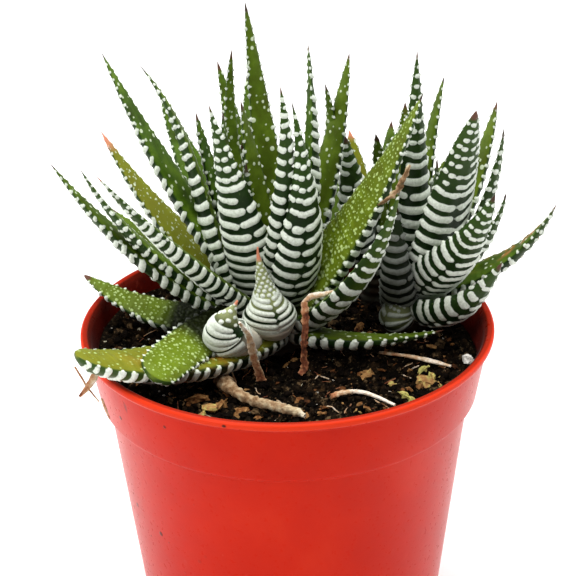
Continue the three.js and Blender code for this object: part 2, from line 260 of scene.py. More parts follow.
def level(tree, value, low, high, to_low=0.0, to_high=1.0):
    """Slides from to_low to to_high while value goes from low to high."""
    return add(tree, "MapRange", {0: value, 1: low, 2: high, 3: to_low, 4: to_high},
               interpolation_type="SMOOTHSTEP").outputs[0]


def blend(tree, share, one, two):
    """Colour one, with this share of colour two over it."""
    return add(tree, "Mix", {0: share, 6: one, 7: two}, data_type="RGBA").outputs[2]


def reckon(tree, how, one, two):
    return add(tree, "Math", {0: one, 1: two}, operation=how).outputs[0]


def product(tree, total, *others):
    for other in others:
        total = reckon(tree, "MULTIPLY", total, other)
    return total


def grain(tree, per_metre, detail=3.0, roughness=0.6):
    return add(tree, "TexNoise", {"Vector": position(tree), "Scale": per_metre, "Detail": detail,
                                  "Roughness": roughness}).outputs[0]


def relief(tree, shader, height, depth):
    bump = add(tree, "Bump", {"Height": height, "Distance": depth, "Strength": 1.0})
    tree.links.new(bump.outputs[0], shader.inputs["Normal"])


print("node helpers ready")


# %% Leaf skin material
def leaf_skin():
    mat, tree, shader = principled("haworthia leaf skin", (0.1, 0.2, 0.02), 0.45, 0.12)
    patch, fine, lime = grain(tree, 160), grain(tree, 1400, 4), reader(tree, "lime")
    face = ramp(tree, patch, [(0.3, (0.012, 0.038, 0.001)), (0.5, (0.034, 0.090, 0.004)),
                              (0.72, (0.088, 0.170, 0.010))])
    face = blend(tree, product(tree, reader(tree, "olive"), 0.8), face, (0.24, 0.23, 0.016))
    face = blend(tree, lime, face, (0.155, 0.245, 0.006))
    keel = ramp(tree, patch, [(0.3, (0.002, 0.008, 0.002)), (0.7, (0.008, 0.026, 0.004))])
    keel = blend(tree, level(tree, reader(tree, "up"), 0.35, 0.95), keel, (0.030, 0.066, 0.009))
    keel = blend(tree, product(tree, lime, 0.5), keel, (0.16, 0.24, 0.01))
    skin = blend(tree, reader(tree, "inner"), keel, face)
    skin = blend(tree, level(tree, fine, 0.62, 0.8, 0, 0.35), skin, (0.24, 0.33, 0.07))
    skin = blend(tree, reader(tree, "pale"), skin, (0.62, 0.58, 0.47))
    white = ramp(tree, fine, [(0.3, (0.50, 0.55, 0.46)), (0.6, (0.70, 0.75, 0.67))])
    white = blend(tree, reader(tree, "soft"), white, (0.33, 0.45, 0.12))
    skin = blend(tree, level(tree, reader(tree, "band"), 0.10, -0.08), skin, white)
    dead = blend(tree, reader(tree, "blush"), (0.034, 0.020, 0.014), (0.60, 0.22, 0.13))
    skin = blend(tree, reader(tree, "tip"), skin, dead)
    scorched = product(tree, reader(tree, "scar"), level(tree, patch, 0.42, 0.58))
    skin = blend(tree, scorched, skin, (0.42, 0.13, 0.02))
    # painted shade: the colour goes towards black where shade is below 1
    skin = blend(tree, reader(tree, "shade"), (0, 0, 0), skin)
    tree.links.new(skin, shader.inputs["Base Color"])
    relief(tree, shader, fine, 0.00006)
    return mat


def skin_values(v, **given):
    """Every value that the leaf skin reads, at each point: 0 where nothing is given."""
    keys = ("band", "inner", "up", "olive", "lime", "blush", "soft", "pale", "shade", "scar", "tip")
    return {key: given.get(key, 0) + 0 * v for key in keys}


LEAF = leaf_skin()
print("leaf skin:", len(LEAF.node_tree.nodes), "nodes")

# %% [markdown]
# ## Bands, dashes and dots
# A band is a capsule laid across the leaf, thicker than a line and round at its ends. Rows
# follow each other about 3 mm apart and curve up towards both margins, where each ends in
# a white tooth. Low on the leaf a row is one or two long strokes, and now and then one of
# them is cut. Higher up come short dashes, which shrink to dots in staggered rows.

# %% Rows of bands
MOST = 6  # marks in a row
ARC = 1.28  # mm along the outer face from keel to margin, for each mm of half the width
# how far along the leaf, and how many mm apart the rows are there
PITCH = ((0, 0.1, 0.3, 0.5, 0.7, 1), (1.85, 2.05, 2.55, 2.75, 2.6, 1.9))


def outer_rows(rng, length, half_width, whole=0.5, keel=0.0, lean=0.0, space=1.0, bold=1.0):
    """whole: the share of the leaf with long strokes. keel: where across the leaf its ridge
    runs. lean: how far, in mm, strokes dip towards it. space, bold: larger gaps and dots."""
    rows, s, odd = [], 0.9, False
    while s < length - 1.2:
        u = s / length
        w = max(0.3, half_width(u)) * ARC
        pitch = float(np.interp(u, *PITCH))
        pitch *= space * rng.uniform(0.94, 1.06)
        marks, rise = [], rng.uniform(1.0, 1.3) * min(1.0, w / 6)
        dip = lean * rng.uniform(0.9, 1.1) * min(1.0, w / 5)
        if u < whole:
            thick = 0.27 * pitch * rng.uniform(0.88, 1.1)
            gap = (thick + rng.uniform(0.10, 0.28)) / w
            if lean < 0.4 and rng.random() < 0.55:
                marks.append((-1.0, 1.0, thick, 0.0, rng.gauss(0, 0.08)))
            else:
                cut = rng.gauss(keel, 0.05 if lean > 0.4 else 0.35)
                step = rng.gauss(0, 0.1)
                marks.append((-1.0, cut - gap, thick, dip * cut + step, -dip))
                marks.append((cut + gap, 1.0, thick * 0.95, -1.5 * dip * cut - step, 1.5 * dip))
            if rng.random() < 0.22 and u > 0.15:
                low, high, thick, shift, slope = marks.pop(rng.randrange(len(marks)))
                part = low + (high - low) * rng.uniform(0.25, 0.75)
                marks.append((low, part - gap, thick, shift, slope))
                marks.append((part + gap, high, thick, shift + rng.gauss(0, 0.25), slope))
            marks = [m for m in marks if m[1] > m[0]]
        else:
            broken = smooth(whole, whole + 0.22, u)
            size = (0.82 - 0.42 * u) * bold
            apart = (2 * size + 0.4 + 0.4 * (1 - broken)) / w
            count = max(1, min(MOST, round(1.9 / apart)))
            for i in range(count):
                place = i - (count - 1) / 2 + (0.5 if odd else 0.0)
                at = keel * (1 - u) + place * apart + rng.gauss(0, 0.12) / w
                half = (0.12 + (1 - broken) * rng.uniform(0.3, 1.1)) / w
                if abs(at) < 1.0 and rng.random() < 0.93:
                    side = 1 if at > keel else -1
                    marks.append((max(-1.0, at - half), min(1.0, at + half), size * rng.uniform(0.85, 1.1),
                                  rng.gauss(0, 0.15) - dip * keel * side, dip * side))
        rows.append((s, rise, marks[:MOST]))
        s += pitch if u < whole else 0.8 * pitch
        odd = not odd
    return rows


FAR = 9.0  # mm: no band is near


def band_distance(rows, s, t, arc):
    """How far, in mm, each point is outside a band: s along, t across, arc = mm for one t."""
    s_row, rise = np.array([r[0] for r in rows]), np.array([r[1] for r in rows])
    marks = np.full((len(rows), MOST, 5), 0.0)
    marks[:, :, 2] = -FAR
    for i, r in enumerate(rows):
        for j, m in enumerate(r[2]):
            marks[i, j] = m
    near = np.full(len(s), FAR)
    k = np.searchsorted(s_row, s)
    for step in (-2, -1, 0, 1):
        i = np.clip(k + step, 0, len(rows) - 1)
        for j in range(MOST):
            low, high, size, shift, slope = marks[i, j].T
            tc = np.clip(t, low, high)
            middle = s_row[i] + rise[i] * np.abs(tc) ** 1.5 + slope * tc + shift
            near = np.minimum(near, np.hypot((t - tc) * arc, s - middle) - size)
    return near


def tooth_distance(rows, s, t, edge, real):
    """The same for the white teeth on both margins; edge = mm in from the margin."""
    near = np.full(len(s), FAR)
    for side in (-1, 1):
        ends = [sum(m[4] for m in r[2] if side * m[0 if side < 0 else 1] > 0.9) for r in rows]
        place = np.array(sorted(r[0] + r[1] + side * end for r, end in zip(rows, ends)))
        k = np.clip(np.searchsorted(place, s), 1, len(place) - 1)
        gap = np.minimum(np.abs(s - place[k]), np.abs(s - place[k - 1]))
        size = 0.68 - 0.36 * np.clip(s / real, 0, 1)
        near = np.where(t * side > 0, np.hypot(edge, gap) - size, near)
    return near


def dot_distance(x, y, apart, size, seed, often=0.8):
    """Small dots in loose rows: x, y and apart in mm, often = the share of places filled."""
    near = np.full(len(x), FAR)
    row = np.floor(y / apart)
    for dj in (-1, 0, 1):
        j = row + dj
        shift = 0.5 * (j % 2)
        i0 = np.floor(x / apart - shift)
        for di in (-1, 0, 1, 2):
            i = i0 + di
            h = np.abs(np.sin(i * 127.1 + j * 311.7 + seed)) * 43758.5453
            a, b, c = h % 1, (h * 7.13) % 1, (h * 3.71) % 1
            off_x = x - (i + shift + 0.85 * (a - 0.5)) * apart
            off_y = y - (j + 0.5 + 0.85 * (b - 0.5)) * apart
            out = np.hypot(off_x, off_y) - size * (0.55 + 0.9 * a * b + 0.4 * b)
            near = np.minimum(near, np.where(c < often, out, FAR))
    return near


print("one row, low on a leaf:", outer_rows(random.Random(1), 60, lambda u: 6)[3])

# %% [markdown]
# ## The leaves
# Each leaf is one row of plain numbers: azimuth, lean from upright at the root and at the
# tip, length, width, height of the root, change of azimuth, twist, the share of it that is
# there, slimness, and a bow in degrees. A row may stop early: ROW_ENDS gives the rest. The
# leaf's middle line is the path of a point that starts on the short stem and turns steadily
# from the first lean to the last. The leans, lengths and turns of most leaves in sight were
# found by a separate search program and copied in, so they aren't round numbers. The hidden
# and small leaves were set one by one.

# %% Leaf tables
MAIN_AT, RIGHT_AT, BACK_AT = (-3, 9), (31, 14), (24, 31.5)
STEM_R = 5.0
ROW_ENDS = (0, 0, 1, 0, 0)
MAIN = [
    ("tall_back", 90, 23.7, 10.4, 71.6, 8.2, 96, 39),
    ("back_left", 112, 26.8, 22.7, 57.5, 9.5, 96, 15),
    ("back_left_thin", 128, 31, -11.3, 62.2, 5.5, 96, -5),
    ("inner_back", 114, 8.7, 13.4, 44.6, 7.5, 99, 32),
    ("inner_left", 112, 11.7, 13.2, 35.4, 7.5, 98, 62),
    ("inner_front", -80, 20.5, -8.3, 56.2, 8.5, 99, 48),
    ("front_right_upright", -58, 28.7, -18.2, 56.5, 13.5, 95, 9, 0, 1, 2),
    ("right_upright", 8, 10.8, -2.8, 64.8, 11.5, 97, 9, 0, 1, 1),
    ("back_right_thin", 46, 48.7, -16.3, 54.8, 8, 96, -6),
    ("back_right", 36, 27.1, 13.7, 61.7, 10.5, 95, 12),
    ("right_broad", -16, 36.4, 22.3, 68.4, 16, 92.5, 0, -35, 1, 0.5),
    ("right_low", -41, 57.9, 17, 59.9, 12.5, 87, -2, 0, 1, 0.6),
    ("right_lying", -41, 86, 86, 41.8, 11, 85.6, 56, 14, 1, 0.6),
    ("front_left_upright", -145, 12.5, 13.1, 53.2, 12.3, 96.9, -25, -45, 1, 1),
    ("left_inner", 158, 17.3, 2.8, 45.3, 7.5, 98, 1),
    ("left_second", 148, 31.2, 11.6, 47.3, 8, 96, 3),
    ("left_banded", 172, 29.7, 44.5, 76.9, 12.3, 83.5, -12.3, -20, 1, 0.6, 22.5),
    ("left_long", 166, 37.7, 27.3, 73.5, 12, 93.5, -10, 0, 1, 0.5),
    ("left_orange_tip", 158, 59.5, 34.7, 60.4, 12, 91, -7, 0, 1, 0.5),
    ("left_narrow", -168, 59.9, 26.3, 64.7, 11, 89, 10, 0, 1, 0.5),
    ("left_front", -144, 47.6, 37.9, 65.6, 13, 91, -7, 0, 1, 0.6),
    ("left_outer", -166, 61.3, 33.1, 69.2, 13, 88, -16, 0, 1, 0.6),
    ("left_rim_bright", 181, 96, 50, 61, 13, 86.6, -30, 13, 0.78),
    ("left_rim_blunt", -126, 92, 48, 92, 18, 87.4, -26, 5, 0.7),
    ("front_left_fat", -133.7, 84.3, 91, 110.2, 11.6, 91.3, 54.6, 29.8, 0.45),
    ("heart_a", 20, 5, 2, 36, 8, 99),
    ("heart_b", -150, 6, 2, 33, 8, 99),
    ("behind_a", 98, 52, 28, 62, 13, 92),
    ("behind_b", 126, 58, 34, 64, 13.5, 91),
    ("behind_c", 112, 78, 58, 56, 13, 87),
    ("behind_d", 143, 80, 60, 54, 12, 86),
    ("behind_e", 78, 74, 52, 40, 12, 88, 10),
]
RIGHT = [
    ("front_upright", -74, -1, 3.7, 65.3, 9.5, 94, 6, 0, 1, 0.8),
    ("back_upright", 52, 1.4, 16.9, 54.1, 6.5, 94, -25),
    ("front_broad", -46, 20, 28.5, 59.5, 17, 94.7, -25, 0, 1, -0.5, 3),
    ("back_right", 30, 40.4, 13.6, 51.1, 9.5, 93, 2),
    ("right_slim", -24, 39.2, 6.2, 53.7, 9.5, 92, -3, 0, 1, 0.3),
    ("right_front", -62, 58.1, 23.2, 46, 12.8, 96, 16.7, 45, 1, 0.2),
    ("right_second", -22, 54, 12.8, 39.9, 7, 91, -7),
    ("right_outer", 6, 82.7, 23.9, 43.7, 11.5, 92, -31, 0, 1, 0.2),
    ("right_low", -58, 89.3, 29.4, 33.7, 12.5, 89.4, 46.9, 40, 1, 0.5, 8.3),
    ("left_small", -104, 42, -12, 37, 9.5, 88),
    ("heart_a", 160, 5, 2, 30, 8, 95),
    ("heart_b", 10, 8, 2, 33, 8, 95),
    ("behind_a", 88, 22, 8, 46, 10, 93),
    ("behind_b", 24, 62, 44, 28, 11, 90),
]
BACK = [
    ("left", 200, 2, 10, 37, 10, 93, 0, -80),
    ("left_back", 115, 10, 26, 33, 9, 93),
    ("right", 60, 2, -18, 36, 8, 93),
    ("right_lean", 85, 16, 34, 39, 9, 92, -60),
    ("behind_a", 78, 46, 26, 38, 10, 91),
    ("behind_b", 125, 50, 30, 40, 10, 90),
    ("behind_c", 40, 54, 34, 34, 10, 91.5),
]
# what sets single leaves apart: tints (olive, lime, glow, blush, scar and where it is at),
# painted shade over the whole leaf (shade), painted shade from the root up to a share of the
# leaf (dark), the length of the dry tip, how the bands meet and break (whole, keel,
# lean, space, bold), a narrower end (taper), and the dots inside (apart, size, share filled)
WARTS, FINE = (1.15, 0.34, 0.85), (1.25, 0.26, 0.9)
WAYS = {
    "main_left_orange_tip": dict(olive=0.75, blush=1.0, dry=8.0, dots=FINE),
    # painted shade: dark blackens these two leaves from the root up, where they lie in shadow
    "main_left_rim_bright": dict(olive=0.3, lime=0.25, dots=WARTS, warty=1.0, dark=0.52, taper=0.6, dry=2.0),
    "main_front_left_fat": dict(olive=0.35, lime=0.42, dots=(1.15, 0.33, 0.9), warty=1.0, dark=0.59),
    "main_left_rim_blunt": dict(olive=0.8, scar=1.0, dots=(1.9, 0.36, 0.7), warty=0.6, whole=0.9, space=1.35,
                                lean=0.2),
    "main_right_broad": dict(lime=0.42, dots=(1.2, 0.33, 0.9), olive=0.35, glow=1.0, warty=0.7),
    "main_right_low": dict(lime=0.35, olive=0.1, keel=0.1, lean=1.1, space=1.65, whole=0.5),
    "main_front_right_upright": dict(whole=0.45, keel=-0.15, lean=1.1, olive=0.05, space=1.35),
    "main_front_left_upright": dict(keel=0.05, lean=0.0, whole=0.5, bold=1.4),
    "main_left_banded": dict(whole=0.6, keel=0.0, lean=0.3, space=1.3),
    "main_left_front": dict(blush=0.6, keel=0.1, lean=0.9, whole=0.6, space=1.1),
    "main_right_upright": dict(keel=0.0, lean=1.3, whole=0.85, space=1.25),
    "main_inner_front": dict(keel=-0.2, lean=0.9, whole=0.8, space=1.25),
    "right_front_upright": dict(keel=0.1, lean=0.3, whole=0.5, space=1.45),
    "right_front_broad": dict(whole=0.5, bold=1.3, keel=0.0, lean=0.9, space=1.4),
    "right_right_front": dict(keel=-0.05, lean=1.2, whole=0.55, space=1.35),
    "right_right_low": dict(keel=0.0, lean=1.0, whole=0.75),
    "right_right_outer": dict(scar=0.9, at=0.62, olive=0.1),
    # painted shade: this small leaf in deep shadow is darkened all over
    "right_left_small": dict(shade=0.2, whole=0.95, space=1.15, lean=0.0),
    "back_left": dict(whole=0.7),
    "back_left_back": dict(olive=0.8, blush=1.0),
}
print(len(MAIN) + len(RIGHT) + len(BACK), "leaves")

# %% Shaping one leaf
OUTSIDE = 0.577  # the share of the way around that is outer face
THICK = 0.62  # the outer half's depth, for each mm of half the width
FOOT = 0.035  # the share of the way along that closes the root
POINTS, WIDTHS = 500, 400  # how finely the middle line and the outline are kept
PLAIN = dict(lime=0.0, glow=0, warty=0, scar=0.0, at=0.45, shade=1.0, dark=0.0, taper=0.0, bold=1.2,
             dots=(2.6, 0.46, 0.8), dry=2.8)


def leaf(plant, row, centre, around, step):
    key, az, lean0, lean1, length, width, root_z, sweep, twist, share, slim, bow = (
        *row, *ROW_ENDS[len(row) - 7:])
    name = plant + "_" + key
    own = WAYS.get(name, {})
    way = {**PLAIN, **own}
    rng = random.Random(name)
    olive, blush = own.get("olive", rng.uniform(0, 0.25)), own.get("blush", rng.uniform(0, 0.15))
    whole = own.get("whole", rng.uniform(0.4, 0.56))
    keel, dip = own.get("keel", rng.uniform(-0.15, 0.25)), own.get("lean", rng.uniform(0, 0.9))
    space = own.get("space", 1.42 - 0.012 * width)
    warty, glow, dark = way["warty"], way["glow"], way["dark"]
    real = length * share
    end = 0.42 * width / real

    def half_width(v):
        """A slim tip that ends in a bristle; a broken leaf ends round instead."""
        u = v * share
        w = width / 2 * (1 - u) ** (1.1 + 0.35 * slim) * (1 + (1.2 + 0.75 * slim) * u)
        w += 0.4 * u * (1 - u ** 20)
        w *= 1 - way["taper"] * v ** 3
        return w * math.sqrt(max(0.0, 1 - ((v - 1 + end) / end) ** 2)) if share < 1 and v > 1 - end else w

    rows = outer_rows(rng, real, half_width, whole, keel, dip, space, way["bold"])
    apart, dot, often = way["dots"]
    fine = np.linspace(0, 1, POINTS)
    u = fine * share
    lean = np.radians(lean0 + (lean1 - lean0) * u - 4 * bow * u * (1 - u))
    heading = np.radians(az + sweep * fine * share)
    ahead = np.stack([np.sin(lean) * np.cos(heading), np.sin(lean) * np.sin(heading), np.cos(lean)], 1)
    line = np.zeros((POINTS, 3))
    line[1:] = np.cumsum((ahead[1:] + ahead[:-1]) / 2, 0) * real / (POINTS - 1)
    out = np.array([math.cos(math.radians(az)), math.sin(math.radians(az)), 0.0])
    line += np.array([*centre, root_z]) + out * STEM_R
    axis = np.array([*centre, root_z - 1.2]) + out * 0.8
    seed = rng.randrange(1 << 20)
    widths = np.array([half_width(x) for x in np.linspace(0, 1, WIDTHS)])

    def rule(a, l):
        # the middle line's place and three directions: t along, s across, n outwards
        v = np.clip((l - FOOT) / (1 - FOOT), 0, 1)
        at = v * (POINTS - 1)
        place = np.stack([np.interp(at, np.arange(POINTS), line[:, k]) for k in range(3)], 1)
        le, he = np.interp(v, fine, lean), np.interp(v, fine, heading)
        t = np.stack([np.sin(le) * np.cos(he), np.sin(le) * np.sin(he), np.cos(le)], 1)
        s = np.stack([-np.sin(he), np.cos(he), 0 * he], 1)
        n = np.cross(s, t)
        c, d = math.cos(math.radians(twist)), math.sin(math.radians(twist))
        s, n = s * c + n * d, n * c - s * d
        # half the width, with the root drawn in to the stem's axis
        w = np.interp(v, np.linspace(0, 1, WIDTHS), widths)
        near_axis = np.clip(l / FOOT, 0, 1)
        w = np.where(l < FOOT, near_axis * (width * 0.26 + (width / 2 - width * 0.26) * near_axis), w)
        place = np.where((l < FOOT)[:, None], axis + (place - axis) * near_axis[:, None], place)
        # the section: a half round outer face with a low keel, and a hollow inner face
        outer = a <= OUTSIDE
        angle = (a / OUTSIDE * 2 - 1) * math.pi / 2
        x_out, y_out = np.sin(angle), np.cos(angle)
        y_out = y_out + 0.07 * np.exp(-((x_out - 0.2) / 0.16) ** 2)
        x_in = 1 - 2 * (a - OUTSIDE) / (1 - OUTSIDE)
        y_in = -0.30 * np.clip(1 - x_in ** 2, 0, 1) ** 0.7 + 0.13 * np.exp(-(x_in / 0.38) ** 2) * (1 - v)
        x, y = np.where(outer, x_out, x_in), np.where(outer, y_out, y_in)
        # how near the bands, the dots and the teeth are
        across = np.where(outer, angle / (math.pi / 2), x_in)
        dist_s = v * real
        wander = lumps(np.stack([across * w, dist_s, 0 * w], 1), 1.3, seed) - 0.5
        edge = (1 - np.abs(across)) * w * np.where(outer, ARC, 1.0)
        d_out = band_distance(rows, dist_s + wander * 0.35, across, w * ARC)
        d_in = dot_distance(x_in * w, dist_s, apart, dot * (1 - 0.3 * v), seed % 97, often)
        d_tooth = tooth_distance(rows, dist_s, across, edge, real)
        live = smooth(0.0, 0.05, v) * (1 - smooth(0.94, 0.985, v))
        band = np.where(live > 0.02, np.minimum(np.where(outer, d_out, d_in), d_tooth), 1.0)
        # the skin swells there, and wavers a little all over
        on_band, on_dot = 0.42 * smooth(0.14, -0.42, d_out), smooth(0.12, -0.2, d_in)
        swell = np.where(outer, on_band, (0.13 + 0.14 * warty) * on_dot)
        swell = np.maximum(swell, 0.70 * smooth(0.2, -0.45, d_tooth)) * live
        swell = swell + 0.22 * (lumps(place, 3.5, seed) - 0.5) * live
        if warty or way["scar"]:
            swell = swell + 0.35 * (lumps(place, 1.1, seed + 1) - 0.5) * live
        nx, ny = x, np.where(outer, y_out / THICK, -1.1)
        norm = np.hypot(nx, ny) + 1e-9
        place = place + s * (x * w)[:, None] + n * (y * w * THICK)[:, None]
        outward = s * (nx / norm)[:, None] + n * (ny / norm)[:, None]
        place = place + outward * (swell * np.clip(w, 0, 1))[:, None]
        # the tints, and painted shade: every leaf darker towards its root, nearly black up to the
        # share given as dark on leaves whose root lies in shadow, and darker all over by the leaf's shade
        lime = way["lime"] * smooth(0.05, 0.35 - 0.2 * glow, v) * smooth(1.05, 0.3, np.abs(x))
        root_shade = np.maximum(smooth(dark - 0.1, dark + 0.04, v), 0.05 if dark else 1.0)
        scar = way["scar"] * np.exp(-((v - way["at"]) / 0.22) ** 2) * smooth(0.9, 0.2, np.abs(x - 0.25))
        dry = smooth(real - way["dry"], real - 1.5, dist_s + wander * 2) * (share == 1 or "dry" in own)
        return place, skin_values(
            v, band=band, up=v, olive=olive, blush=blush, scar=scar, tip=dry,
            inner=np.where(outer, 0.0, smooth(1.0, 0.88, np.abs(x_in))),
            lime=lime * (1 - 0.75 * glow * smooth(0.22, 0.5, v)),
            soft=np.where(outer | (d_tooth < 0.1), 0.0, 0.9 if warty else 0.4),
            shade=way["shade"] * (0.42 + 0.58 * smooth(-0.02, 0.34, v)) * root_shade)

    ob = rolled(name, around, max(40, round(real / step)), rule)
    return part_of(ob, "rosette_" + plant, LEAF)


# %% Growing the three rosettes
FINE_GRID, COARSE_GRID, WARTY_GRID, QUICK_GRID = (52, 0.49), (36, 0.7), (96, 0.3), (40, 0.75)
faces = 0
for plant, rows, centre in (("main", MAIN, MAIN_AT), ("right", RIGHT, RIGHT_AT), ("back", BACK, BACK_AT)):
    for row in rows:
        hidden = plant == "back" or row[0].startswith(("behind", "heart"))
        grid = COARSE_GRID if hidden else FINE_GRID
        if WAYS.get(plant + "_" + row[0], {}).get("warty"):
            grid = WARTY_GRID
        ob = leaf(plant, row, centre, *grid)
        faces += 2 * len(ob.data.polygons)
print("leaves grown,", faces, "triangles")


# %% [markdown]
# ## The pot
# The real pot is thin red plastic, blown or pressed in one piece: a rolled lip, a collar
# that stands out about 2 mm, a tapering body and a ribbed foot with holes. It is a lathe
# shape, so its half outline is drawn point by point with extrude, then spun once round.
# A small bevel rounds every moulded edge, and the drain holes are cut with a boolean.

# %% Pot
OUTLINE = [
    (0, 3), (35.2, 3), (37.2, 5), (45, 70.5), (47.1, 72.5), (48.7, 80), (49.8, 88.6), (50.4, 89.6),
    (51.1, 90), (51.9, 90), (52.5, 89.5), (52.5, 88.6), (52.1, 88.1), (51.3, 87.7), (50.9, 86.6),
    (48.4, 72.9), (48.0, 72.2), (46.8, 71.5), (46.2, 70.6), (37.6, 0.7), (36.9, 0), (31, 0),
    (30.5, 1.6), (12.5, 1.6), (12, 0), (0, 0),
]
SPIN_STEPS = 168
HOLES, HOLE_R, HOLES_AT = 8, 2.3, 22
deselect()
bpy.ops.mesh.primitive_plane_add(size=MM)
pot = bpy.context.object
pot.name = pot.data.name = "nursery_pot"
bpy.ops.object.mode_set(mode="EDIT")
bpy.ops.mesh.merge(type="CENTER")
bpy.ops.transform.translate(value=(0, 0, OUTLINE[0][1] * MM))
for (r0, z0), (r1, z1) in zip(OUTLINE, OUTLINE[1:]):
    bpy.ops.mesh.extrude_vertices_move(TRANSFORM_OT_translate={"value": ((r1 - r0) * MM, 0, (z1 - z0) * MM)})
bpy.ops.mesh.select_all(action="SELECT")
bpy.ops.mesh.spin(steps=SPIN_STEPS, angle=math.tau, center=(0, 0, 0), axis=(0, 0, 1))
bpy.ops.mesh.select_all(action="SELECT")
bpy.ops.mesh.remove_doubles(threshold=0.01 * MM)
bpy.ops.mesh.normals_make_consistent(inside=False)
bpy.ops.object.mode_set(mode="OBJECT")


def finish_with(ob, kind, **settings):
    """Adds one modifier and applies it."""
    bpy.ops.object.select_all(action="DESELECT")
    ob.select_set(True)
    bpy.context.view_layer.objects.active = ob
    mod = ob.modifiers.new(kind.lower(), kind)
    for key, value in settings.items():
        setattr(mod, key, value)
    bpy.ops.object.modifier_apply(modifier=mod.name)


finish_with(pot, "BEVEL", width=0.22 * MM, segments=2, limit_method="ANGLE", angle_limit=math.radians(28))
deselect()
for i in range(HOLES):
    angle = i * math.tau / HOLES
    bpy.ops.mesh.primitive_cylinder_add(
        vertices=24, radius=HOLE_R * MM, depth=6 * MM,
        location=(HOLES_AT * MM * math.cos(angle), HOLES_AT * MM * math.sin(angle), 2 * MM))
    if i == 0:
        drills = bpy.context.object
    else:
        drills.select_set(True)
        bpy.context.view_layer.objects.active = drills
        bpy.ops.object.join()
finish_with(pot, "BOOLEAN", operation="DIFFERENCE", object=drills, solver="EXACT")
bpy.data.objects.remove(drills)
bpy.ops.object.shade_smooth_by_angle(angle=math.radians(35))
print("pot:", len(pot.data.polygons), "faces")

# %% [markdown]
# Pot plastic is coloured all through and lightly glossy, and cheap pressing leaves it a
# little cloudy. Handling leaves fine pale scuffs low on the front, and watering splashes
# dark crumbs of peat on it. Painted shade darkens the top face of the lip and the wall
# inside above the soil, and the dry leaf tip's painted shadow lies as a dark streak on the
# collar at the left.

# %% Pot plastic
def specks(tree, per_metre, share, size, stretch=(1, 1, 1)):
    """1 inside small round spots; share of the cells that have one, size within a cell."""
    mapped = add(tree, "Mapping", {"Vector": position(tree), "Scale": stretch}).outputs[0]
    cells = add(tree, "TexVoronoi", {"Vector": mapped, "Scale": per_metre}).outputs
    dice = add(tree, "SeparateColor", {0: cells["Color"]}).outputs
    outside = reckon(tree, "SUBTRACT", cells["Distance"], product(tree, dice[1], size))
    return product(tree, reckon(tree, "LESS_THAN", dice[0], share), level(tree, outside, 0.04, -0.04))


def spot(tree, centre, squeeze, low, high):
    """1 near a place in mm, falling to 0; squeeze stretches it along x, y, z."""
    away = add(tree, "VectorMath", {0: position(tree), 1: [c * MM for c in centre]}, operation="SUBTRACT")
    away = add(tree, "VectorMath", {0: away.outputs[0], 1: squeeze}, operation="MULTIPLY")
    far = add(tree, "VectorMath", {0: away.outputs[0]}, operation="LENGTH").outputs["Value"]
    return level(tree, far, high * MM, low * MM)


def pot_plastic():
    """Heights and distances from the pot's axis are in metres here."""
    mat, tree, shader = principled("red pot plastic", (0.6, 0.035, 0.01), 0.34)
    shader.inputs["IOR"].default_value = 1.13
    shader.inputs["Sheen Weight"].default_value = 0.085
    shader.inputs["Sheen Roughness"].default_value = 0.22
    cloud, fine = grain(tree, 34, 4), grain(tree, 700, 4)
    x, y, z = add(tree, "SeparateXYZ", {0: position(tree)}).outputs
    far = reckon(tree, "SQRT", reckon(tree, "ADD", product(tree, x, x), product(tree, y, y)), 0.0)
    from_wall = reckon(tree, "SUBTRACT", far, product(tree, z, 0.157))
    scuffs = product(tree, specks(tree, 520, 0.22, 0.34, (1, 1, 0.55)), level(tree, cloud, 0.42, 0.6),
                     level(tree, z, 0.052, 0.030))
    dirt = product(tree, specks(tree, 330, 0.34, 0.26), level(tree, x, -0.018, -0.034),
                   level(tree, z, 0.030, 0.045), level(tree, z, 0.0885, 0.0865))
    crumbs = reckon(tree, "MAXIMUM", dirt, specks(tree, 260, 0.035, 0.20))
    colour = ramp(tree, cloud, [(0.32, (0.42, 0.009, 0.001)), (0.55, (0.47, 0.012, 0.001)),
                                (0.75, (0.52, 0.022, 0.005))])
    for share, strength, tint in (
            # the lip, painted shade on the lip's top face and on the wall inside, scuffs, rubbed
            # places, crumbs, and the dry leaf tip's painted shadow on the collar
            (level(tree, z, 0.0876, 0.0886), 0.4, (0.78, 0.065, 0.02)),
            # painted shade: the top face of the lip is darkened
            (product(tree, level(tree, z, 0.0893, 0.0897), level(tree, far, 0.0522, 0.0517)), 0.6,
             (0.10, 0.004, 0.002)),
            # painted shade: the wall inside the pot, above the soil, is darkened
            (product(tree, level(tree, from_wall, 0.0369, 0.0364), level(tree, z, 0.078, 0.080)), 0.88,
             (0.045, 0.004, 0.002)),
            (scuffs, 0.55, (0.86, 0.42, 0.38)),
            (level(tree, grain(tree, 210, 6, 0.75), 0.60, 0.75, 0, 0.14), 1.0, (0.74, 0.12, 0.07)),
            (crumbs, 1.0, (0.075, 0.012, 0.008)),
            # painted shadow: a dark streak on the collar at the left, below the hanging dry tip
            (spot(tree, (-39.2, -31.2, 84.2), (0.7, 0.9, 0.28), 0.15, 0.75), 0.8, (0.11, 0.010, 0.008))):
        colour = blend(tree, product(tree, share, strength), colour, tint)
    tree.links.new(colour, shader.inputs["Base Color"])
    worn = reckon(tree, "ADD", product(tree, fine, 0.4), scuffs)
    tree.links.new(level(tree, worn, 0.1, 0.9, 0.27, 0.62), shader.inputs["Roughness"])
    relief(tree, shader, reckon(tree, "ADD", product(tree, fine, 0.35), product(tree, crumbs, 1.5)), 0.00010)
    return mat


part_of(pot, "pot", pot_plastic())
print("pot finished")

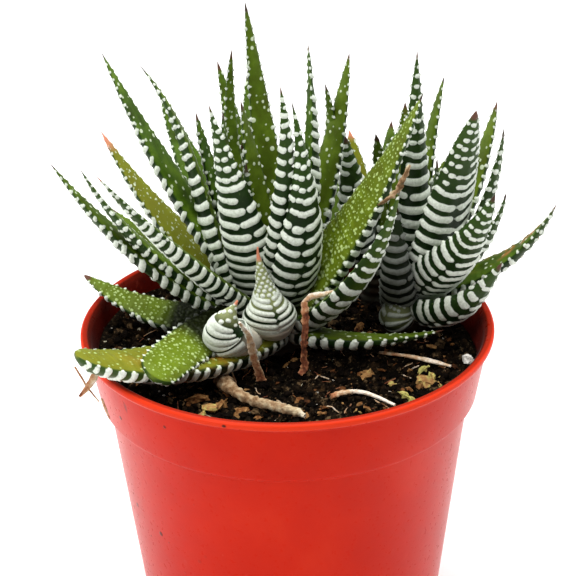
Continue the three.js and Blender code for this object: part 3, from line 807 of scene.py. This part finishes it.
# %% [markdown]
# ## The soil
# Potting soil is a dark, crumbly filling of peat and bark. Its top is a fine square grid,
# pressed into a disc so that its faces stay equal. It sinks a little towards the middle, is
# heaped by three sizes of lumps, and rises to a bank at the back left. The edge is extruded
# down along the pot's inner wall and closed at the bottom.

# %% Soil body
SOIL_Z, SOIL_DIP, SOIL_R = 81, 1.6, 48.1
SOIL_EDGE = SOIL_Z - 0.3
SOIL_GRID = 205
SOIL_WALL = ((47.6, 77.5), (46.6, 72.6), (44.6, 70.4), (36.7, 5), (35, 3.4))


def soil_height(x, y):
    r = np.hypot(x, y)
    swell = 0.55 * np.sin(0.9 * x + 1.3) * np.sin(0.8 * y + 0.4) + 0.3 * np.sin(2.1 * x - 1.7 * y)
    p = np.stack([x, y, 0 * x], 1)
    crumb = 1.6 * (lumps(p, 3.9, 5) - 0.5) + 1.4 * (lumps(p, 1.6, 6) - 0.5) + 1.0 * (lumps(p, 0.7, 7) - 0.5)
    away = smooth(SOIL_R, SOIL_R - 2.5, r)
    bank = 4.2 * smooth(34, SOIL_R, r) * smooth(-0.35, -0.85, x / (r + 1)) * smooth(-0.6, -0.1, y / (r + 1))
    sunk = SOIL_DIP * np.cos(np.pi / 2 * np.clip(r / SOIL_R, 0, 1)) ** 2
    return SOIL_EDGE - sunk + bank + away * (swell + crumb)


deselect()
bpy.ops.mesh.primitive_grid_add(x_subdivisions=SOIL_GRID, y_subdivisions=SOIL_GRID, size=2)
soil = bpy.context.object
soil.name = soil.data.name = "potting_soil"
flat = np.zeros(len(soil.data.vertices) * 3)
soil.data.vertices.foreach_get("co", flat)
gx, gy = flat.reshape(-1, 3)[:, 0], flat.reshape(-1, 3)[:, 1]
dx, dy = SOIL_R * gx * np.sqrt(1 - gy ** 2 / 2), SOIL_R * gy * np.sqrt(1 - gx ** 2 / 2)
soil.data.vertices.foreach_set("co", (np.stack([dx, dy, soil_height(dx, dy)], 1) * MM).ravel())
bpy.ops.object.mode_set(mode="EDIT")
bpy.ops.mesh.select_all(action="DESELECT")
bpy.ops.mesh.select_mode(type="EDGE")
bpy.ops.mesh.select_non_manifold()
ring_r, ring_z = SOIL_R, SOIL_EDGE
for r, z in SOIL_WALL:
    bpy.ops.mesh.extrude_region_move(TRANSFORM_OT_translate={"value": (0, 0, (z - ring_z) * MM)})
    bpy.ops.transform.resize(value=(r / ring_r, r / ring_r, 1), center_override=(0, 0, z * MM))
    ring_r, ring_z = r, z
bpy.ops.mesh.edge_face_add()
bpy.ops.mesh.select_all(action="SELECT")
bpy.ops.mesh.normals_make_consistent(inside=False)
bpy.ops.mesh.faces_shade_smooth()
bpy.ops.object.mode_set(mode="OBJECT")
drop_uv(soil)


def soil_earth():
    mat, tree, shader = principled("potting soil", (0.02, 0.012, 0.007), 0.85, 0.02)
    coarse, fine = grain(tree, 260, 5, 0.7), grain(tree, 1300, 4, 0.7)
    colour = ramp(tree, coarse, [(0.34, (0.0010, 0.0008, 0.0006)), (0.52, (0.004, 0.0026, 0.0016)),
                                 (0.64, (0.018, 0.010, 0.005)), (0.78, (0.07, 0.038, 0.015))])
    colour = blend(tree, level(tree, fine, 0.56, 0.72, 0, 0.6), colour, (0.15, 0.11, 0.06))
    colour = blend(tree, specks(tree, 620, 0.05, 0.34), colour, (0.36, 0.33, 0.24))
    tree.links.new(colour, shader.inputs["Base Color"])
    tree.links.new(level(tree, coarse, 0.3, 0.7, 0.6, 0.97), shader.inputs["Roughness"])
    relief(tree, shader, reckon(tree, "ADD", coarse, product(tree, fine, 0.5)), 0.0006)
    return mat


part_of(soil, "soil", soil_earth())
print("soil:", len(soil.data.polygons), "faces")

# %% [markdown]
# ## Loose crumbs
# On top lie loose bits: dark crumbs of peat, flakes of orange bark, tan and yellow-green
# bits, a few white grains of perlite and thin pale fibres. Each kind is one small shape
# with a few dozen faces. It is copied, and every copy is turned, sized and set down on the
# soil by a seeded dice throw, then the copies of one kind are joined.

# %% Strewing
def strew(name, prototypes, spots, mat, sink=0.25):
    """spots: (x, y, size, flatness, tone) in mm; every copy has its own mesh until the join."""
    rng = random.Random(name)
    copies = []
    heights = soil_height(np.array([s[0] for s in spots], float), np.array([s[1] for s in spots], float))
    for (x, y, size, flatness, tone), z in zip(spots, heights):
        mesh = rng.choice(prototypes).data.copy()
        tilt = Matrix.Rotation(rng.gauss(0, 0.35), 4, "X") @ Matrix.Rotation(rng.gauss(0, 0.35), 4, "Y")
        place = Matrix.Translation(Vector((x, y, z + size * flatness * (0.5 - sink))) * MM)
        turned = Matrix.Rotation(rng.uniform(0, math.tau), 4, "Z")
        sized = Matrix.Diagonal((size * MM, size * MM * rng.uniform(0.6, 1), size * MM * flatness, 1))
        mesh.transform(place @ tilt @ turned @ sized)
        layer = mesh.attributes.new("tone", "FLOAT", "POINT")
        layer.data.foreach_set("value", np.full(len(mesh.vertices), tone, np.float32))
        ob = bpy.data.objects.new(name, mesh)
        bpy.context.scene.collection.objects.link(ob)
        copies.append(ob)
    deselect()
    for ob in copies:
        ob.select_set(True)
    bpy.context.view_layer.objects.active = copies[0]
    bpy.ops.object.join()
    joined = bpy.context.object
    joined.name = joined.data.name = name
    joined.select_set(False)
    return part_of(joined, None, mat)


def pebble(rough, seed, smooth_faces=False):
    """A unit cube, cut once, made round and then dented."""
    deselect()
    bpy.ops.mesh.primitive_cube_add(size=1)
    ob = bpy.context.object
    bpy.ops.object.mode_set(mode="EDIT")
    bpy.ops.mesh.subdivide(number_cuts=1)
    bpy.ops.transform.tosphere(value=0.75)
    bpy.ops.transform.vertex_random(offset=rough, uniform=0.6, seed=seed)
    bpy.ops.mesh.normals_make_consistent(inside=False)
    if smooth_faces:
        bpy.ops.mesh.faces_shade_smooth()
    bpy.ops.object.mode_set(mode="OBJECT")
    drop_uv(ob)
    return ob


def disc_spots(seed, count, sizes, flats, tones, reach=46.5):
    """Even throws over a disc of this reach; what would touch the pot's wall is left out."""
    rng = random.Random(seed)
    out = []
    for _ in range(count):
        r, angle = reach * math.sqrt(rng.random()), rng.uniform(0, math.tau)
        size = sizes[0] + (sizes[1] - sizes[0]) * rng.random() ** 2
        x, y = r * math.cos(angle), r * math.sin(angle)
        if math.hypot(x, y) + size / 2 < SOIL_R - 0.3:
            out.append((x, y, size, rng.uniform(*flats), rng.uniform(*tones)))
    return out


def crumb_stuff(name, stops):
    mat, tree, shader = principled(name, stops[0][1], 0.85, 0.03)
    speckle = grain(tree, 900, 4)
    mixed = reckon(tree, "ADD", reader(tree, "tone"), level(tree, speckle, 0.3, 0.7, -0.18, 0.18))
    tree.links.new(ramp(tree, mixed, stops), shader.inputs["Base Color"])
    relief(tree, shader, speckle, 0.00025)
    return mat


shapes = [pebble(0.26, 3), pebble(0.30, 8), pebble(0.34, 12, True)]
flakes = [pebble(0.3, 21), pebble(0.34, 25)]
peat = crumb_stuff("peat crumbs", [(0.0, (0.001, 0.0008, 0.0006)), (0.6, (0.005, 0.003, 0.002)),
                                   (0.85, (0.016, 0.010, 0.005)), (1.0, (0.10, 0.062, 0.030))])
bark = crumb_stuff("bark and straw bits", [(0.0, (0.030, 0.012, 0.006)), (0.35, (0.11, 0.042, 0.014)),
                                           (0.7, (0.33, 0.18, 0.068)), (1.0, (0.42, 0.40, 0.12))])
perlite = crumb_stuff("perlite", [(0.0, (0.30, 0.26, 0.20)), (1.0, (0.72, 0.70, 0.66))])
LARGER_BARK = [
    (34.4, -17.0, 4.0, 0.6, 0.72), (35.6, -15.6, 2.6, 0.7, 0.9), (33.2, -18.2, 2.2, 0.7, 0.5),
    (20.3, -11.2, 2.8, 0.7, 0.6), (28.5, -23.9, 2.4, 0.5, 1.0), (30.2, -25.0, 2.0, 0.6, 1.0),
    (33.9, -10.7, 2.4, 0.5, 1.0), (18.5, -29.0, 2.6, 0.6, 0.55), (16.4, -30.8, 2.0, 0.6, 0.7),
    (-22.2, -23.8, 4.2, 0.4, 0.45), (-16.8, -26.5, 3.4, 0.5, 0.5), (-19.2, -28.9, 2.8, 0.5, 0.75),
    (-11.8, -31.6, 3.2, 0.45, 0.5), (-21.0, -30.4, 2.2, 0.5, 0.8), (38.0, -14.0, 1.8, 0.6, 0.9),
    (37.0, -18.5, 1.6, 0.6, 0.8), (8.0, -30.5, 2.2, 0.5, 0.5), (25.5, -17.0, 1.6, 0.6, 0.8),
]
LARGER_PERLITE = [(45.6, -6.5, 2.3, 0.9, 0.9), (-38, 22, 1.8, 0.8, 0.8), (4, 43, 1.9, 0.8, 0.9),
                  (40, 20, 1.6, 0.8, 0.7)]
strew("peat_crumbs", shapes, disc_spots(1, 2800, (0.4, 2.0), (0.3, 0.8), (0, 1)), peat)
strew("bark_bits", flakes, disc_spots(2, 420, (0.4, 2.1), (0.2, 0.5), (0, 0.62)) + LARGER_BARK, bark)
strew("perlite_grains", shapes, disc_spots(3, 60, (0.3, 0.8), (0.6, 1.0), (0.0, 0.8)) + LARGER_PERLITE,
      perlite)
for ob in shapes + flakes:
    bpy.data.objects.remove(ob)
print("crumbs strewn")

# %% [markdown]
# ## Young offsets and dry scraps
# These are all tapering strands. swept() carries an oval along a smooth line through a few
# points, with its own width and depth at each, and closes it round at both ends.

# %% Sweeping an oval along a line
LINE = 300  # points on a smooth line


def smooth_line(points):
    """A smooth (Catmull-Rom) line through the points."""
    p = np.array(points, float)
    p = np.vstack([2 * p[:1] - p[1:2], p, 2 * p[-1:] - p[-2:-1]])
    at = np.linspace(0, len(points) - 1 - 1e-6, LINE)
    i, f = at.astype(int), (at % 1)[:, None]
    a, b, c, d = p[i], p[i + 1], p[i + 2], p[i + 3]
    return 0.5 * (2 * b + (c - a) * f + (2 * a - 5 * b + 4 * c - d) * f ** 2
                  + (3 * b - a - 3 * c + d) * f ** 3)


def swept(name, around, along, path, across, deep, side=(1, 0, 0), skin=None, cap=0.05):
    """skin(angle, v, w, s) gives a swelling in mm, a lift in mm and the values to keep, where v
    is the share and s the mm travelled, and w half the width there. cap: the share that closes
    each end. side: which way the oval's width lies."""
    line = smooth_line(path)
    table = smooth_line([(w, d, 0) for w, d in zip(across, deep)])
    ahead = np.gradient(line, axis=0)
    steps = np.linalg.norm(ahead, axis=1)
    ahead /= steps[:, None]
    travelled = np.concatenate([[0], np.cumsum((steps[1:] + steps[:-1]) / 2)])

    def rule(a, l):
        v = np.clip((l - cap) / (1 - 2 * cap), 0, 1)
        at, index = v * (LINE - 1), np.arange(LINE)
        middle, t = (np.stack([np.interp(at, index, m[:, k]) for k in range(3)], 1) for m in (line, ahead))
        w, d = np.interp(at, index, table[:, 0]), np.interp(at, index, table[:, 1])
        s = np.array(side, float) - t * (t @ np.array(side, float))[:, None]
        s /= np.linalg.norm(s, axis=1)[:, None]
        n = np.cross(s, t)
        close = np.sqrt(1 - (1 - np.clip(np.minimum(l, 1 - l) / cap, 0, 1)) ** 2)
        angle = a * math.tau
        swell, lift, values = skin(angle, v, w, np.interp(at, index, travelled)) if skin else (0, 0, {})
        along_end = (np.where(l > 0.5, 1, -1) * (close - 1) * d * 0.5)[:, None] * t
        by_side = (np.cos(angle) * (w + swell) * close)[:, None]
        by_depth = ((np.sin(angle) * (d + swell) + lift) * close)[:, None]
        return middle + along_end + s * by_side + n * by_depth, values

    return rolled(name, around, along, rule)


print("a line through 3 points has", len(smooth_line([(0, 0, 0), (1, 0, 1), (3, 0, 1)])), "points")

# %% [markdown]
# The three young offsets are shells of short bracts: cream at the foot, then fat white
# bands with thin dark gaps, then green with white dots, and a dry pink point.

# %% Offsets
OFFSET_ARC = 1.5  # mm for a quarter of the way around, for each mm of half the width


def offset(name, path, across, deep, node, side=(1, 0, 0), facing=70, start=0.30, dotted=0.58, fat=0.68,
           pitch=1.9, dry=0.84, seed=1, size=(80, 136), shade=1.0):
    """start, dotted and dry: how far along the bands begin, break into dots, and give way to
    the dry point. facing: the angle, in degrees, where the bands are parted."""
    rng = random.Random(seed)
    length = float(np.sum(np.linalg.norm(np.diff(smooth_line(path), axis=0), axis=1)))
    radius = smooth_line([(w, d, 0) for w, d in zip(across, deep)])[:, 0]
    rows, s, odd = [], start * length, False
    while s < length * 0.97:
        u = s / length
        w = max(0.3, float(np.interp(u, np.linspace(0, 1, LINE), radius))) * OFFSET_ARC
        dip = rng.uniform(1.0, 1.6) * min(1, w / 7)
        if u < dotted:
            gap = (fat + 0.14) / w
            marks = [(gap, 1.8, fat * rng.uniform(0.9, 1.08), 0.0, dip),
                     (-1.75, -gap, fat * rng.uniform(0.85, 1.0), 0.35, -dip)]
        else:
            small = fat * (0.9 - 0.45 * (u - dotted) / (1 - dotted))
            apart = (2 * small + 0.42) / w
            places = (np.arange(-2, 4 if odd else 3) - (0.5 if odd else 0.0)) * apart
            marks = [(t, t + 0.15 / w, small * rng.uniform(0.9, 1.1), rng.gauss(0, 0.08), 0.0)
                     for t in places if abs(t) < 1.8][:MOST]
            odd = not odd
        rows.append((s, 0.5 * min(1, w / 6), marks))
        s += (pitch if u < dotted else pitch * (0.95 - 0.35 * u)) * rng.uniform(0.96, 1.04)
    centre = math.radians(facing)

    def skin(angle, v, w, s):
        t = ((angle - centre + math.pi) % math.tau - math.pi) / (math.pi / 2)
        alive = smooth(start - 0.06, start + 0.02, v) * (1 - smooth(dry - 0.04, dry + 0.02, v))
        band = np.where(alive > 0.05, band_distance(rows, s, t, w * OFFSET_ARC), 1.0)
        folds = 0.10 * np.sin(s * 3.1 + 1.2 * np.sin(angle * 2)) * smooth(start + 0.05, start - 0.1, v)
        swell = (0.30 * smooth(0.10, -0.35, band) * alive + folds) * np.clip(w / 1.5, 0, 1)
        green = smooth(dotted - 0.2, dotted - 0.02, v)
        return swell, 0 * v, skin_values(
            v, band=band, inner=green, up=0.3, lime=0.55 * green, olive=0.45, blush=1, shade=shade,
            pale=np.maximum(smooth(start + 0.05, start - 0.07, v), 0.28 * green),
            tip=smooth(dry - 0.03, dry + 0.02, v))

    return part_of(swept(name, *size, path, across, deep, side, skin), node, LEAF)


offset("offset_front",
       [(-3, 4, 88), (-3.6, -1.5, 89.5), (-4.2, -3.6, 92), (-4.6, -4.4, 95.5), (-5, -4.6, 99),
        (-5.6, -4.6, 103), (-6.3, -4.8, 107.5), (-6.8, -5, 111), (-6.9, -5.2, 113.5)],
       [3, 4.8, 6.5, 6.3, 3.9, 2.2, 1.15, 0.45, 0.2], [2.5, 3.6, 4.4, 4.2, 3.1, 1.9, 1.0, 0.45, 0.2],
       "rosette_main", fat=0.54, pitch=1.5, seed=4)
offset("offset_left",
       [(-7, 4, 87), (-10.5, -6.1, 88), (-13, -13, 91.7), (-15.2, -15, 94.4), (-15.4, -15.8, 97.4),
        (-14.2, -16, 100.4), (-12.9, -16.1, 102.6), (-12, -16.2, 104.4)],
       [2.6, 4.2, 5.4, 5.6, 4.4, 2.3, 0.8, 0.2], [2.4, 3.4, 4, 4, 3.2, 1.9, 0.7, 0.2], "rosette_main",
       side=(1, 0.3, 0), facing=50, start=0.34, dotted=0.8, dry=0.93, fat=0.58, pitch=1.5, seed=9)
# painted shade: the right offset is darkened all over (shade=0.42)
offset("offset_right",
       [(29, 13, 88), (28.6, 8.4, 87.2), (28.2, 5.2, 88), (28.4, 4.2, 90.4), (29.8, 4, 93.2), (31.7, 4, 96)],
       [2.6, 3.8, 4.4, 4, 2.4, 0.3], [2.2, 3, 3.6, 3.3, 2.1, 0.3], "rosette_right", facing=140, start=0.2,
       dotted=0.6, dry=0.93, fat=0.45, pitch=1.7, seed=12, size=(60, 100), shade=0.42)
print("offsets grown")


# %% Short stems
def stem_skin(angle, v, w, s):
    rings = 0.25 * np.sin(s * 2.4 + 1.5 * np.sin(angle))
    # painted shade: the stems are darkened nearly to black (shade 0.12)
    return rings, 0 * v, skin_values(v, band=1, inner=0.4, up=0.2, olive=1, blush=1, pale=0.55, scar=0.5,
                                     shade=0.12)


for plant, (cx, cy), low, high, r in (("main", MAIN_AT, 58, 98, 6.5), ("right", RIGHT_AT, 62, 96, 5.5),
                                      ("back", BACK_AT, 66, 95, 4.2)):
    radii = [r] * 5 + [r * 0.6]
    stem = swept("stem_" + plant, 32, 60, [(cx, cy, z) for z in np.linspace(low, high, 6)], radii, radii,
                 skin=stem_skin)
    part_of(stem, "rosette_" + plant, LEAF)
print("stems grown")

# %% [markdown]
# The dead pieces are brown, tan and pale straw, with ragged edges and ridges along them.
# "tone" slides one dry material from dark brown over rust and tan to pale straw.

# %% Dry scraps
def dry_skin(name, roughness=0.82, grey=0.0):
    mat, tree, shader = principled(name, (0.3, 0.15, 0.06), roughness, 0.2)
    streak, fine = grain(tree, 520, 5, 0.7), grain(tree, 2600, 3)
    mixed = reckon(tree, "ADD", reader(tree, "tone"), level(tree, streak, 0.3, 0.7, -0.2, 0.2))
    warm = ramp(tree, mixed, [(0.0, (0.030, 0.012, 0.008)), (0.25, (0.16, 0.045, 0.018)),
                              (0.5, (0.38, 0.17, 0.08)), (0.75, (0.55, 0.39, 0.24)), (1.0, (0.80, 0.72, 0.62))])
    cool = ramp(tree, mixed, [(0.3, (0.10, 0.085, 0.035)), (0.9, (0.50, 0.46, 0.30))])
    tree.links.new(blend(tree, grey, warm, cool), shader.inputs["Base Color"])
    relief(tree, shader, reckon(tree, "ADD", streak, fine), 0.0002)
    return mat


DRY, STRAW, ROOT = dry_skin("dry leaf"), dry_skin("straw", 0.9), dry_skin("dead root", 0.9, 0.55)


def scrap(name, node, mat, path, across, deep, tones, side=(1, 0, 0), ragged=0.3, curl=0.5, edge=0.25,
          seed=1, size=(28, 110), nodes=0):
    """tones run from one end to the other; edges are paler by edge, and curl towards the depth.
    nodes: how far apart, in mm, ring-like swellings lie."""
    def skin(angle, v, w, s):
        rim = np.abs(np.cos(angle)) ** 3
        rough = (lumps(np.stack([np.cos(angle) * 2, s, np.sin(angle)], 1), 0.8, seed) - 0.5) * 2
        swell = w * ragged * rough * (0.35 + 0.65 * rim)
        if nodes:
            swell = swell + 0.2 * w * np.abs(np.cos(math.pi * s / nodes + 0.4 * np.sin(angle))) ** 6
        tone = np.interp(v, np.linspace(0, 1, len(tones)), tones) + edge * rim + 0.10 * rough
        return swell, curl * w * rim, {"tone": tone}
    return part_of(swept(name, *size, path, across, deep, side, skin), node, mat)


scrap("dried_leaf_front_skin", "dried_leaf_front", DRY,
      [(4.4, -7.2, 99.2), (4.6, -9.0, 95), (4.2, -10.2, 90), (4, -10.4, 85), (4.1, -10.8, 82.2),
       (2.9, -11.8, 81.2)],
      [0.8, 0.9, 0.85, 0.8, 1.0, 0.9], [0.7, 0.5, 0.5, 0.5, 0.6, 0.4], [0.5, 0.24, 0.16, 0.2, 0.14, 0.4],
      ragged=0.55, seed=3, curl=-0.35, edge=0.22)
scrap("dried_leaf_front_curl", "dried_leaf_front", DRY,
      [(4.1, -7.2, 98.8), (6.0, -6.7, 100.1), (9.2, -5.9, 100.4), (12.1, -5.0, 100.9)],
      [0.5, 0.8, 0.7, 0.3], [0.35, 0.4, 0.4, 0.25], [0.6, 0.68, 0.72, 0.78], side=(0, 0, 1), seed=5,
      size=(20, 60))
scrap("dried_leaf_left_skin", "dried_leaf_left", DRY,
      [(-11.6, -19.1, 99.9), (-9.4, -17.6, 95.3), (-8.8, -16.3, 90.9), (-8.1, -15, 86.7), (-7.3, -13.9, 83.5),
       (-6.8, -13.4, 80.9)],
      [0.35, 0.8, 1.05, 0.9, 1.1, 1.3], [0.3, 0.5, 0.55, 0.5, 0.6, 0.7], [0.85, 0.70, 0.66, 0.5, 0.34, 0.35],
      seed=7, curl=-0.3)
scrap("dead_root_skin", "dead_root", ROOT,
      [(-16.6, -15.8, 82.4), (-15.6, -18.6, 82.8), (-13.6, -22, 82.8), (-10.7, -25.8, 82.8),
       (-7.6, -28.4, 82.8), (-4.6, -30, 82.8), (-1, -32, 82.8), (2, -33.8, 82.8), (3.8, -35.2, 82.6)],
      [1.7, 2.1, 1.4, 1.1, 1.1, 1.05, 1.05, 0.95, 0.5], [1.5, 1.8, 1.35, 1.15, 1.2, 1.15, 1.1, 1.0, 0.5],
      [0.45, 0.44, 0.5, 0.5, 0.56, 0.62, 0.66, 0.95], curl=0, edge=0, seed=11, size=(40, 260), nodes=3.0)
scrap("dry_leaf_tip_skin", "dry_leaf_tip", DRY,
      [(-45.0, -33.4, 95.1), (-46, -33.9, 94.2), (-47.1, -34.6, 92.6), (-48.4, -35.2, 90.9),
       (-49.8, -35.6, 89.4)],
      [0.9, 1.3, 1.0, 0.7, 0.3], [0.5, 0.7, 0.6, 0.5, 0.3], [0.75, 0.6, 0.5, 0.4, 0.1], side=(0.7, 0, 0.7),
      seed=13, curl=0.3)
scrap("straw_long_skin", "straw_long", STRAW,
      [(10.3, -25.2, 82.2), (13.4, -24, 82.5), (17, -23.9, 82.6), (20.8, -25.8, 82.5), (25.7, -30.2, 82.2)],
      [0.8, 0.7, 0.6, 0.5, 0.35], [0.6, 0.6, 0.5, 0.45, 0.3], [0.5, 0.68, 0.9, 1.0, 0.95],
      ragged=0.22, curl=0, edge=0, seed=15)
scrap("straw_short_skin", "straw_short", STRAW,
      [(23.2, -2.8, 82.2), (30.7, -5.8, 82.5), (36, -8.4, 82.4), (40.9, -11, 82.2)],
      [0.35, 0.5, 0.65, 0.35], [0.35, 0.45, 0.55, 0.3], [0.55, 0.7, 0.85, 0.8], ragged=0.22,
      curl=0, edge=0, seed=17)
scrap("withered_curl", "rosette_main", ROOT,
      [(30.5, -5, 134.5), (29, -5.6, 131.2), (27.6, -6, 128.4), (25.5, -6.2, 126.4), (22.7, -6.4, 124.7)],
      [0.3, 0.6, 0.75, 0.5, 0.2], [0.25, 0.4, 0.5, 0.35, 0.2], [0.5, 0.2, 0.5, 0.1], ragged=0.9, curl=0.4,
      seed=23, size=(24, 70))
print("dry scraps laid")

# %% [markdown]
# Thin fibres of coir and root hair cross the soil. A few bent ones are copied and turned.
# One longer thread hangs beside the left offset to the soil, and two hang at the left rim.

# %% Fibres
FIBRE_R = [0.028] * 5
fibres = []
for k in range(4):
    rng = random.Random(40 + k)
    bend = [(x, rng.gauss(0, 0.08), 0.04 * rng.random()) for x in np.linspace(-0.5, 0.5, 5)]
    fibres.append(swept("fibre", 5, 7, bend, FIBRE_R, FIBRE_R, side=(0, 1, 0), cap=0.1))
    fibres[-1].data.transform(Matrix.Scale(1 / MM, 4))
rng = random.Random(77)
strands = [(x, y, rng.uniform(2, 7), 1.0, rng.uniform(0.1, 0.85))
           for x, y, _, _, _ in disc_spots(5, 110, (1, 2), (1, 1), (0, 1), 41)]
strew("soil_fibres", fibres, strands, STRAW, sink=0.47)
for ob in fibres:
    bpy.data.objects.remove(ob)
for name, path in (
        ("hanging_thread", [(-16.3, -2.1, 90), (-15.6, -8, 87), (-14.2, -13, 83.4), (-13.0, -15.5, 81.2)]),
        ("rim_thread", [(-50.6, -34, 96.6), (-48.9, -34.2, 93.2), (-47.9, -34.4, 91.2),
                        (-45.4, -34.2, 87.1)]),
        ("rim_thread_low", [(-44.7, -34.2, 87.9), (-44.0, -34.4, 85.6), (-43.1, -34.4, 82.4)])):
    scrap(name, None, STRAW, path, [0.22, 0.28, 0.16], [0.2, 0.25, 0.15], [0.5, 0.65, 0.55],
          ragged=0.2, curl=0, edge=0, seed=19, size=(10, 40))
print("fibres laid")
